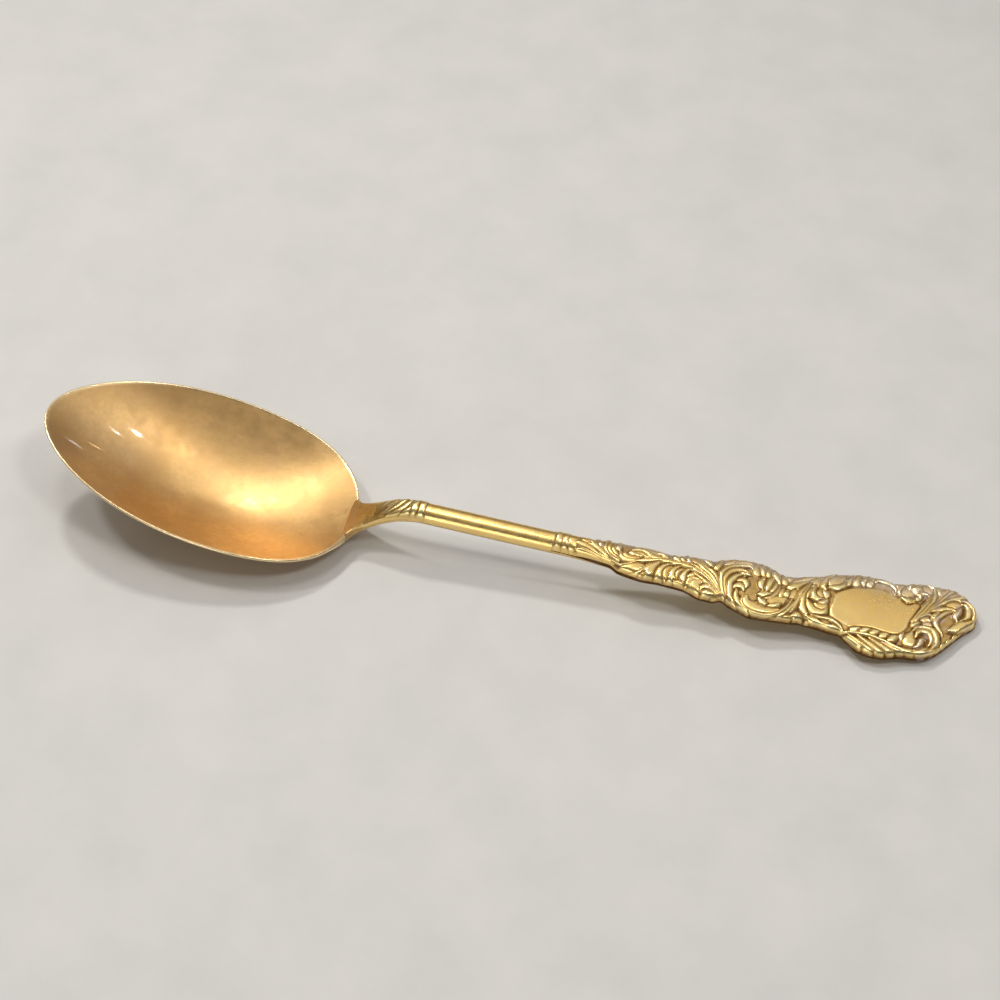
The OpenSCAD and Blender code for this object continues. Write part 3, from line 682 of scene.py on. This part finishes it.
def frond_ridges():
    """The small leaf under the oval: a fine rib, with short leaflets over it, and under it longer ones that
    start at the outline. Each leaflet is given by where it starts and ends along the spoon."""
    above = ((129.3, 131), (130.8, 132.5), (132.3, 134), (133.8, 135.4), (135.2, 136.7))
    below = ((128.3, 131.3), (129.3, 133), (130.7, 134.6), (132.4, 136.2), (134.3, 137.8), (136.2, 139.3))
    rib = np.array([(128, -3.2), (131.6, -2.6), (134.6, -2.95), (137.6, -3.4), (140, -3.2)])
    over_gap = 0.25
    under_gap = 0.35
    tip_y = -1.3
    arch_share = 0.75
    sag = 0.3
    sag_share = 0.6
    ridges = [leaf(1, 0.24, (128, -3.2), (129, -2.95), (130.2, -2.75), (131.6, -2.6), (133, -2.65),
                   (134.6, -2.95), (136.2, -3.3), (137.6, -3.4), (139, -3.2), (140.2, -2.8))]
    for start, end in above:
        foot = np.interp(start, rib[:, 0], rib[:, 1]) + over_gap
        ridges.append(leaf(0.9, 0.36, (start, foot), ((start + end) / 2, foot * arch_share), (end, tip_y)))
    for start, end in below:
        foot = np.interp(start, rib[:, 0], rib[:, 1]) - under_gap
        edge = float(edges_y(end)[1]) + under_gap
        middle = ((start + end) / 2 + sag, foot * (1 - sag_share) + edge * sag_share)
        ridges.append(tail(0.9, 0.42, (end, edge), middle, (start, foot)))
    return ridges


def scallop_ridges():
    """A row of small scallops that follow each other round the lower corner of the end."""
    ends = ((146.8, 3.1), (145.9, 2), (145, 0.9), (144.15, -0.2), (143.4, -1.3), (142.6, -2.3), (141.6, -2.9))
    bulge = 0.28
    ridges = []
    for (s, y), (next_s, next_y) in zip(ends[:-1], ends[1:]):
        middle = ((s + next_s) / 2 + bulge * (y - next_y), (y + next_y) / 2 - bulge * (s - next_s))
        ridges.append(leaf(1, 0.5, (s, y), middle, (next_s, next_y)))
    return ridges


def follow(one, s, y, reach):
    """The grid points within reach of a ridge, how far they are from its path, and its half width there.
    The distance is measured square to the path at the nearest of its points, and round its two ends."""
    path = one["path"]
    low = path.min(axis=0) - reach
    high = path.max(axis=0) + reach
    where = np.nonzero((s > low[0]) & (s < high[0]) & (y > low[1]) & (y < high[1]))
    dx = s[where][:, None] - path[None, :, 0]
    dy = y[where][:, None] - path[None, :, 1]
    nearest = np.argmin(dx * dx + dy * dy, axis=1)
    rows = np.arange(len(nearest))
    tangent = np.gradient(path, axis=0)
    step = np.hypot(tangent[:, 0], tangent[:, 1])
    tx, ty = tangent[nearest, 0] / step[nearest], tangent[nearest, 1] / step[nearest]
    dx, dy = dx[rows, nearest], dy[rows, nearest]
    forward = dx * tx + dy * ty
    past = ((nearest == 0) & (forward < 0)) | ((nearest == len(path) - 1) & (forward > 0))
    away = np.where(past, np.hypot(dx, dy), np.abs(dx * ty - dy * tx))
    along = np.clip((nearest + np.where(past, 0, forward / step[nearest])) / (len(path) - 1), 0, 1)
    return where, away, smooth_look_up(one["taper"], along)


def press(ridges, s, y):
    """The field of the ridges on a grid. A ridge's share at a point is the distance to its path, over its
    half width there; the least share is the point's own ridge, and the second is its neighbour."""
    names = ("share", "away", "height", "next_share", "next_away", "next_height", "silver", "scoop")
    field = {name: np.zeros(s.shape) for name in names}
    field["share"] += np.inf
    field["next_share"] += np.inf
    for one in ridges:
        where, away, taper = follow(one, s, y, 2 * swell_reach * one["half"])
        share = away / (one["half"] * taper)
        high = one["height"] * (thin_end_share + (1 - thin_end_share) * taper)
        old = {name: values[where] for name, values in field.items()}
        first = share < old["share"]
        second = ~first & (share < old["next_share"])
        for name, value in (("share", share), ("away", away), ("height", high)):
            other = "next_" + name
            field[other][where] = np.where(first, old[name], np.where(second, value, old[other]))
            field[name][where] = np.where(first, value, old[name])
        for name in ("silver", "scoop"):
            field[name][where] = np.where(first, one[name], old[name])
    return field


def swell(field):
    """Height share and crease share of the ridges: each one swells from its path, as a power of
    1 - u squared, until it meets its neighbour or comes to its reach. The nearer the neighbour, the
    shallower the crease between them."""
    share = field["share"]
    half_way = (share + field["next_share"]) / 2
    reach = np.minimum(half_way, swell_reach)
    u = np.where(np.isfinite(share), np.minimum(1, share / reach), 1)
    crown = (1 - u * u) ** crown_power
    open_side = np.where(np.isfinite(half_way), np.minimum(1, half_way / swell_reach), 1)
    gap = field["away"] + np.where(np.isfinite(half_way), field["next_away"], np.inf)
    depth = open_side ** crease_power * step01(gap / merge_gap)
    low = (field["height"] + field["next_height"]) / 2 * (1 - depth)
    height = low + (field["height"] - low) * crown * (1 - field["scoop"] * (1 - u * u))
    height = np.where(np.isfinite(share), height, 0)
    crease = np.where(share < swell_reach, u ** crease_sharpness * depth, ground_tone)
    return height, crease


def inside_depth(closed, s, y):
    """Depth inside a closed curve, and 0 outside it: the distance to its nearest point."""
    points = np.asarray(closed, float)
    path = smooth_path(np.concatenate([points[-1:], points, points[:2]]))
    low, high = path.min(axis=0), path.max(axis=0)
    depth = np.zeros(s.shape)
    where = np.nonzero((s > low[0]) & (s < high[0]) & (y > low[1]) & (y < high[1]))
    px, py = s[where], y[where]
    crossings = np.zeros(len(px), int)
    nearest = np.full(len(px), np.inf)
    tiny = 1e-12
    corners = smooth_path(np.concatenate([points, points[:1]]))
    for (ax, ay), (bx, by) in zip(corners, np.roll(corners, -1, axis=0)):
        spans = (ay > py) != (by > py)
        crossings += spans & (px < (bx - ax) * (py - ay) / (by - ay + tiny) + ax)
        run = np.hypot(bx - ax, by - ay) + tiny
        part = np.clip(((px - ax) * (bx - ax) + (py - ay) * (by - ay)) / run**2, 0, 1)
        nearest = np.minimum(nearest, np.hypot(px - ax - part * (bx - ax), py - ay - part * (by - ay)))
    depth[where] = np.where(crossings % 2 == 1, nearest, 0)
    return depth


def box_blur(field, rows, columns):
    """Mean over a box of rows and columns, done twice for a smoother result. The grid is turned over each
    time, so that the sums always run down it."""
    for reach in (rows, columns, rows, columns):
        size = 2 * reach + 1
        total = np.cumsum(np.pad(field, ((reach + 1, reach), (0, 0)), mode="edge"), axis=0)
        field = ((total[size:] - total[:-size]) / size).T
    return field


def relief(height, box):
    """The height smoothed a little, and how far it sinks below and rises above the mean of a box round it:
    the sinking is the tarnish of the recesses, the rising is the painted highlight on the ridges.
    """
    height = box_blur(height, 1, 1)
    above = height - box_blur(height, *box)
    return height, np.clip(-above / hollow_depth, 0, 1), np.clip(above / proud_rise, 0, 1)


def ornament(s, v):
    """Height of the ornament in mm, and on a grid its tarnish in the recesses, its painted highlight on the
    raised ridges, and how silvery it is.
    """
    y = y_at(s, v)
    ridges = collar_ridges + spray_ridges + feather_ridges + knot_ridges + cartouche_ridges
    field = press(ridges + frond_ridges() + crest_ridges + scallop_ridges(), s, y)
    height, crease = swell(field)
    oval = inside_depth(oval_edge, s, y)
    squares = ((s - oval_middle[0]) / oval_halves[0]) ** 2 + ((y - oval_middle[1]) / oval_halves[1]) ** 2
    dome = (1 - oval_crown + oval_crown * (1 - squares)) * step01(oval / oval_shoulder)
    inside = step01(oval / oval_soft)
    height = height * (1 - inside) + oval_height * dome * inside
    crease = crease * (1 - inside)
    silver = field["silver"] * step01(1 - silver_fall * field["share"] / swell_reach) * (1 - inside)
    # A silvery tone that grows towards the far edge, from a share across and a place along the spoon.
    far_silver = far_silver_tone * step01((v - far_silver_from) / far_silver_run) * step01((s - far_silver_start) / far_silver_fade)
    from_edge = from_outline(s, y)
    fade = outline_share + (1 - outline_share) * step01(from_edge / outline_fade)
    rise = step01((s - blade_start) / collar_l / rise_share)
    height, patina_and_shade, ridge_highlight = relief(height * fade * rise, ornament_box)
    patina_and_shade = np.maximum(patina_and_shade, crease_tone * crease * step01(from_edge / crease_fade))
    crowned = crown_h * (1 - v * v) * look_up(thin_shares, blade_share(s))
    return height * relief_h + crowned, {"patina_and_shade": patina_and_shade, "ridge_highlight": ridge_highlight, "worn": np.maximum(silver, far_silver)}


def handle_grid():
    """Stations along the ornamented handle, with the row where each section starts and ends."""
    stations = [blade_start]
    rows = {}
    edge = blade_start
    ends = [("collar", blade_start + collar_l)]
    ends += [(name, blade_start + blade_l * share) for name, share in section_shares.items()]
    for name, end in ends:
        count = max(4, int(round((end - edge) / station_step)))
        first = len(stations) - 1
        stations.extend(np.linspace(edge, end, count + 1)[1:])
        rows[name] = slice(first, len(stations))
        edge = end
    return np.array(stations)[:, None], rows


def edge_rows(s, v, top, bottom, bulge):
    """Points down the rounded outer edge, between the front and the back, at v = 1 or -1."""
    t = np.linspace(0, 1, edge_count + 2)[None, 1:-1]
    y = y_at(s, v) + v * bulge * np.sin(np.pi * t)
    return section_point(s + 0 * t, y, top * (1 - t) - bottom * t)


def cap(front, far, back, near):
    """Triangles that close one end of a section: a strip between its front row and its back row of points,
    with a fan for each edge row."""
    faces = []
    share = len(back) - 1
    total = len(front) - 1
    for i in range(total):
        j, k = round(i * share / total), round((i + 1) * share / total)
        faces.append([front[i], front[i + 1], back[k]])
        if j != k:
            faces.append([front[i], back[k], back[j]])
    for row, corner in (([front[-1], *far], back[-1]), ([back[0], *near], front[0])):
        faces += [[a, b, corner] for a, b in zip(row[:-1], row[1:])]
    return faces


def make_stretch(node, s, front_height, layers, material, bulge, wall_shade, lift=0):
    """One closed length of the handle from its grid of front heights: front, far edge, back, near edge."""
    v = spread_across(s, front_count)
    front = section_point(s + 0 * v, y_at(s, v), front_height)
    back_v = spread_across(s, back_count)[:, ::-1]
    back_height = plain_height(s, back_v, False) * back_bevel(s, back_v) - lift
    back = section_point(s + 0 * back_v, y_at(s, back_v), -back_height)
    far = edge_rows(s, 1, front_height[:, -1:], back_height[:, :1], bulge)
    near = edge_rows(s, -1, front_height[:, :1], back_height[:, -1:], bulge)[:, ::-1]
    loops = np.concatenate([front, far, back, near], axis=1)
    rows, count = loops.shape[:2]
    places = list(range(count))
    starts = np.cumsum([0, front_count + 1, edge_count, back_count + 1])
    front_row, far_row, back_row, near_row = [places[a:b] for a, b in zip(starts, [*starts[1:], count])]
    first = cap(front_row, far_row, back_row[::-1], near_row)
    last = [[(rows - 1) * count + i for i in reversed(face)] for face in first]
    faces = [face[::-1] for face in skin_faces(rows, count)] + first + last
    full = {}
    for label, values in layers.items():
        # Painted shade: the side walls in the edge rows get a dark tone in the layer that also holds the
        # tarnish.
        edge = np.full((rows, edge_count), wall_shade if label == "patina_and_shade" else 0)
        full[label] = np.concatenate([values, edge, np.zeros((rows, back_count + 1)), edge], axis=1)
    return new_piece(node, loops, faces, material, full)


def make_handle(material):
    """The ornamented handle: one field of ornament, cut into its named sections."""
    s, rows = handle_grid()
    v = spread_across(s, front_count)
    height, layers = ornament(s + 0 * v, v)
    front_height = plain_height(s, v, True) + height - front_roll(s, v)
    for node, part in rows.items():
        tones = {label: values[part] for label, values in layers.items()}
        piece = make_stretch(node, s[part], front_height[part], tones, material, edge_bulge, edge_shade)


def make_neck(material):
    """The flared neck. Its front starts as a thin tongue on the bowl's inside, under which its rim ends, and
    flows into the arch by a smooth maximum: half of a + b + the root of (a - b) squared + e squared."""
    s = np.linspace(neck_start, neck_end, neck_count)[:, None]
    v = spread_across(s, front_count)
    y = y_at(s, v)
    grid = s + 0 * v
    middle_z, _ = middle_line(s)
    inside_z = heel_inside(grid, y)
    arch_z = middle_z + plain_height(s, v, True)
    comes = step01((s - fillet_start) / fillet_run)
    soft = neck_fillet * comes * (1 - step01((s - seat_x - fillet_end) / fillet_fade))
    front_z = (inside_z + arch_z + np.sqrt((inside_z - arch_z) ** 2 + soft ** 2)) / 2
    front_z = front_z - sink * (1 - step01(s - fillet_start)) * (1 + side_sink_share * v ** side_power)
    field = press(neck_ridges, grid, y)
    height, crease = swell(field)
    fade = step01((1 - np.abs(v)) / neck_side_fade) * step01((neck_end - s) / neck_ridge_fade)
    height, patina_and_shade, ridge_highlight = relief(height * fade, neck_box)
    pressed = field["share"] < swell_reach
    patina_and_shade = np.maximum(patina_and_shade * step01(s - neck_ridge_start), neck_crease_tone * crease * fade * pressed)
    front_height = front_z - middle_z + relief_h * neck_relief_share * height
    hidden = 1 - step01((s - seat_x + tongue_fade) / tongue_fade)
    middle = slice(front_count // 2, front_count // 2 + 1)
    lift = hidden * (plain_height(s, 0, False) + inside_z[:, middle] - middle_z - tongue_t)
    # Tarnish in the creases, the painted highlight on the raised ridges, and a weak painted shade on the side
    # walls.
    layers = {"patina_and_shade": patina_and_shade, "ridge_highlight": ridge_highlight}
    piece = make_stretch("neck", s, front_height, layers, material, neck_bulge, neck_edge_shade, lift)


def make_shank(material):
    """The plain shank: circles square to the middle line, with painted shade on its underside."""
    s = np.linspace(neck_end, blade_start, shank_count)[:, None]
    turns = np.linspace(0, 2 * np.pi, shank_turn_count, endpoint=False)[None, :]
    loops = section_point(s + 0 * turns, shank_r * np.cos(turns), shank_r * np.sin(turns))
    points, faces = closed_skin(loops, section_point(s[[0, -1], 0], 0, 0))
    # Painted shade: the underside of the shank is darkened.
    under = under_shade * step01(under_from - under_rate * np.sin(turns)) + 0 * s
    tones = {"patina_and_shade": np.concatenate([under.ravel(), [0, 0]])}
    new_piece("shank", points, faces, material, tones)


# Materials


class Nodes:
    """A short way to add nodes to a material or to the world, and to join them."""

    def __init__(self, owner, shader="Principled BSDF"):
        owner.use_nodes = True
        self.owner = owner
        self.tree = owner.node_tree
        self.shader = self.tree.nodes[shader]

    def add(self, kind, inputs=(), **settings):
        """One node: its settings by name, and its inputs by number or name as values or sockets."""
        node = self.tree.nodes.new("ShaderNode" + kind)
        for key, value in settings.items():
            setattr(node, key, value)
        self.fill(node, dict(inputs))
        return node

    def fill(self, node, inputs):
        """Joins each socket to its input, or sets the input's own value."""
        for key, value in inputs.items():
            if isinstance(value, bpy.types.NodeSocket):
                self.tree.links.new(value, node.inputs[key])
            else:
                node.inputs[key].default_value = value

    def done(self, inputs):
        """Fills in the shader, and gives back the material or the world."""
        self.fill(self.shader, inputs)
        return self.owner

    def places(self, stretch=(1, 1, 1)):
        """Object coordinates in millimetres, stretched along the axes."""
        place = self.add("TexCoord").outputs["Object"]
        return self.add("Mapping", {"Vector": place, "Scale": [k / MM for k in stretch]}).outputs[0]

    def noise(self, size, detail=3.0, stretch=(1, 1, 1)):
        """Noise with features about size mm across."""
        inputs = {"Vector": self.places(stretch), "Scale": 1 / size, "Detail": detail, "Roughness": 0.55}
        return self.add("TexNoise", inputs).outputs[0]

    def layer(self, name):
        return self.add("Attribute", attribute_name=name).outputs["Fac"]

    def range(self, value, a, b, c, d):
        """Maps a to b onto c to d, clamped."""
        return self.add("MapRange", {0: value, 1: a, 2: b, 3: c, 4: d}).outputs[0]

    def along(self, a, b, c, d):
        """Maps a to b, in mm along the spoon from its tip, onto c to d."""
        s = self.add("SeparateXYZ", {0: self.places()}).outputs[0]
        return self.range(s, a - spoon_l / 2, b - spoon_l / 2, c, d)

    def math(self, operation, a, b):
        return self.add("Math", {0: a, 1: b}, operation=operation).outputs[0]

    def times(self, a, b):
        return self.math("MULTIPLY", a, b)

    def mix(self, share, a, b):
        return self.add("Mix", {0: share, 6: a, 7: b}, data_type="RGBA").outputs[2]

    def bump(self, height, distance, strength, under=()):
        """A bump of a height in mm, over the normal of another bump."""
        inputs = {"Height": height, "Distance": distance * MM, "Strength": strength, **dict(under)}
        return {"Normal": self.add("Bump", inputs).outputs[0]}


BRIGHT_GOLD = (0.93, 0.70, 0.28, 1)
DEEP_GOLD = (0.86, 0.57, 0.19, 1)
ROSE_GOLD = (0.63, 0.405, 0.20, 1)
BOWL_GOLD = (0.77, 0.52, 0.235, 1)
BROWN_GOLD = (0.60, 0.385, 0.165, 1)
# Paler gold: the painted highlight on the raised ridges
PALE_GOLD = (0.98, 0.88, 0.46, 1)
# The rim's paler gold: partly rubbing, partly a painted highlight
WORN_SHEEN_GOLD = (0.97, 0.80, 0.52, 1)
# Dark brown: tarnish in the recesses, and painted shade on the side walls and under the shank
TARNISH_AND_SHADE = (0.18, 0.09, 0.028, 1)
SILVER = (0.90, 0.87, 0.88, 1)
GREY = (0.66, 0.55, 0.50, 1)
FLOOR_TONES = ((0.57, 0.585, 0.615, 1), (0.62, 0.635, 0.665, 1))


def bowl_gold():
    """Satin gold wash: cloudy tone, rosier patches, fine wiping marks, a paler rim that is partly rubbing and
    partly a painted highlight on the lip, and a polished tip.
    """
    n = Nodes(bpy.data.materials.new("bowl_gold"))
    colour = n.mix(n.range(n.noise(9.0, 4.0), 0.35, 0.65, 0, 1), BROWN_GOLD, BOWL_GOLD)
    colour = n.mix(n.range(n.noise(3.2, 5.0), 0.45, 0.7, 0, 0.6), colour, ROSE_GOLD)
    colour = n.mix(n.range(n.noise(0.7, 6.0), 0.4, 0.66, 0, 0.5), colour, BROWN_GOLD)
    # The rim is painted paler and smoother: partly rubbing, partly a painted highlight on the lip.
    rim = n.layer("worn")
    colour = n.mix(n.times(rim, 0.7), colour, WORN_SHEEN_GOLD)
    smudge = n.range(n.noise(2.2, 6.0), 0.3, 0.7, 0.40, 0.50)
    grain = n.bump(n.noise(0.12, 2.0), 0.006, 0.5)
    wiped = n.bump(n.noise(0.25, 3.0, (0.12, 1, 1)), 0.012, 0.5, grain)
    rough = n.math("SUBTRACT", smudge, n.times(rim, 0.2))
    return n.done({"Base Color": colour, "Metallic": 1.0, "Roughness": rough, **wiped,
                   "Coat Weight": n.along(15.5, 13, 0, 1), "Coat Roughness": 0.08, "Coat IOR": 1.6})


def handle_gold():
    """Polished gold wash: satin and beaten at the heel, tarnished in the recesses, with painted shade on the
    side walls and under the shank, a painted highlight of paler gold on the ridges, silvery where it is
    rubbed through and towards the far edge, and greyer in patches at the end."""
    n = Nodes(bpy.data.materials.new("handle_gold"))
    clouds = n.range(n.noise(4.0, 3.0), 0.3, 0.7, 0.3, 0.8)
    satin = n.along(49.5, 53, 1, 0)
    colour = n.mix(satin, n.mix(clouds, DEEP_GOLD, BRIGHT_GOLD), n.mix(clouds, BROWN_GOLD, BOWL_GOLD))
    # Painted highlight: paler gold on the raised ridges.
    colour = n.mix(n.times(n.layer("ridge_highlight"), 0.8), colour, PALE_GOLD)
    # Tarnish in the recesses and creases, and painted shade on the side walls and under the shank.
    patina_and_shade = n.times(n.times(n.layer("patina_and_shade"), 1.5), n.range(n.noise(0.8, 3.0), 0.35, 0.65, 0.75, 1))
    colour = n.mix(patina_and_shade, colour, TARNISH_AND_SHADE)
    # Silvery rubbing beside some ridges, and a silvery tone that grows towards the far edge.
    worn = n.times(n.layer("worn"), n.range(n.noise(0.7, 4.0), 0.3, 0.7, 0.15, 0.85))
    colour = n.mix(worn, colour, SILVER)
    faded = n.times(n.along(138.5, 141, 0.1, 0.5), n.range(n.noise(1.4, 4.0), 0.48, 0.62, 0, 1))
    colour = n.mix(faded, colour, GREY)
    rough = n.math("ADD", n.range(n.noise(1.5, 6.0), 0.3, 0.7, 0.22, 0.36), n.times(satin, 0.16))
    rough = n.math("ADD", rough, n.times(patina_and_shade, 0.35))
    dents = n.bump(n.noise(0.6, 3.0), 0.02, 0.6, n.bump(n.noise(0.1, 2.0), 0.006, 0.5))
    beaten = n.times(n.along(54, 52, 0, 1), n.along(49.6, 50.6, 0, 1))
    return n.done({"Base Color": colour, "Metallic": 1.0, "Roughness": rough,
                   **n.bump(n.noise(1.1, 2.0), 0.25, beaten, dents)})


# Floor, lights and camera

floor_half = 3.0
camera_turn = math.radians(12.7095)
camera_lift = math.radians(49.5784)
camera_roll = math.radians(1.1851)
camera_away = 330.0
camera_target = (-1.9682, 6.1391, 8.0)
camera_lens = 75.2
camera_sensor = 36
camera_near = 0.01
camera_facing = (Matrix.Rotation(camera_turn, 3, "Z") @ Matrix.Rotation(math.pi / 2 - camera_lift, 3, "X")
                 @ Matrix.Rotation(camera_roll, 3, "Z"))
camera_back = camera_facing.col[2]
# Each lamp: its name, what it is aimed at, the direction towards it, how far and how wide it is, in
# millimetres, its power in watts and its colour
middle = (0, 0, 0)
bowl_tip = (-57, 3, 7)
bowl_middle = (-40, 4, 2)
lights = (
    ("key", middle, (-0.593, 0.024, 1), 500, 55, 0.45, (1, 0.95, 0.84)),
    ("second", middle, (-0.373, 0.445, 1), 500, 55, 0.7, (1, 0.95, 0.84)),
    ("front", bowl_tip, (0.52, -0.25, 1), 500, 80, 0.42, (1, 0.93, 0.82)),
    ("overhead", bowl_middle, (-0.05, 0, 1), 500, 100, 0.3, (1, 0.95, 0.86)),
    ("near_window", middle, (-0.14, -1, 0.22), 600, 250, 0.5, (1, 0.97, 0.88)),
    ("tip_left", bowl_tip, (0.88, 0.15, 1), 600, 14, 0.03, (1, 0.93, 0.82)),
    ("tip_right", bowl_tip, (0.76, -0.1, 1), 600, 24, 0.08, (1, 0.93, 0.82)),
    ("far_lamp", bowl_tip, (1.11, 1.56, 1), 600, 9, 0.012, (1, 0.7, 0.3)),
    ("window", bowl_tip, (1.6, 3.6, 1), 700, 10, 0.008, (0.93, 0.96, 1)),
)
# The room's light, from the nadir to the zenith, and for two directions how it changes with the
# cosine of the angle to them: from and to which cosine, and from and to which brightness
room_stops = ((0, (0.13, 0.105, 0.08)), (0.42, (0.16, 0.13, 0.1)), (0.77, (0.56, 0.52, 0.46)),
              (0.93, (0.78, 0.76, 0.72)), (1, (1.0, 0.98, 0.93)))
room_sides = ((camera_back, 0.45, 1, 1, 0.35), ((0.5, 0.87, 0), 0.3, 1, 0.9, 2))


def make_floor():
    """A large pale floor with a faint mottle."""
    n = Nodes(bpy.data.materials.new("pale_floor"))
    colour = n.mix(n.range(n.noise(14.0, 4.0), 0.3, 0.7, 0, 1), *FLOOR_TONES)
    grain = n.bump(n.noise(0.5, 3.0), 0.02, 0.3)
    mesh = bpy.data.meshes.new("floor")
    corners = [(x * floor_half, y * floor_half, 0) for x, y in ((-1, -1), (1, -1), (1, 1), (-1, 1))]
    mesh.from_pydata(corners, [], [[0, 1, 2, 3]])
    mesh.materials.append(n.done({"Base Color": colour, "Roughness": 0.8, **grain}))
    floor = bpy.data.objects.new("floor", mesh)
    bpy.context.scene.collection.objects.link(floor)


def make_lights():
    """Round lamps: two throw shadows, three light the gold, and four small ones show in the bowl's tip."""
    for name, aim, towards, away, size, power, colour in lights:
        target = Vector(aim) * MM
        data = bpy.data.lights.new(name, "AREA")
        data.shape = "DISK"
        data.size = size * MM
        data.energy = power
        data.color = colour
        lamp = bpy.data.objects.new(name, data)
        lamp.location = target + Vector(towards).normalized() * away * MM
        lamp.rotation_euler = (lamp.location - target).to_track_quat("Z", "Y").to_euler()
        bpy.context.scene.collection.objects.link(lamp)


def make_room():
    """Light from all round: bright overhead, dimmer and warmer towards the walls, dimmest towards the camera
    and brightest on the far right."""
    n = Nodes(bpy.data.worlds.new("room"), "Background")
    direction = n.add("TexCoord").outputs["Object"]
    ramp = n.add("ValToRGB", {0: n.add("SeparateXYZ", {0: direction}).outputs[2]})
    bar = ramp.color_ramp
    while len(bar.elements) < len(room_stops):
        bar.elements.new(0.5)
    for element, (place, colour) in zip(bar.elements, room_stops):
        element.position = place
        element.color = (*colour, 1)
    sides = []
    for towards, *change in room_sides:
        cosine = n.add("VectorMath", {0: direction, 1: towards}, operation="DOT_PRODUCT").outputs["Value"]
        sides.append(n.range(cosine, *change))
    light = n.add("VectorMath", {0: ramp.outputs[0], "Scale": n.times(*sides)}, operation="SCALE").outputs[0]
    bpy.context.scene.world = n.done({0: light})


def make_camera():
    """The camera, worked out from the photograph: turn, lift, roll and distance to a target."""
    data = bpy.data.cameras.new("camera")
    data.lens = camera_lens
    data.sensor_width = camera_sensor
    data.clip_start = camera_near
    camera = bpy.data.objects.new("camera", data)
    place = (Vector(camera_target) + camera_back * camera_away) * MM
    camera.matrix_world = Matrix.Translation(place) @ camera_facing.to_4x4()
    bpy.context.scene.collection.objects.link(camera)
    bpy.context.scene.camera = camera


handle_material = handle_gold()
make_bowl(bowl_gold())
make_neck(handle_material)
make_shank(handle_material)
make_handle(handle_material)
make_floor()
make_lights()
make_room()
make_camera()
bpy.context.scene.view_settings.view_transform = "Standard"
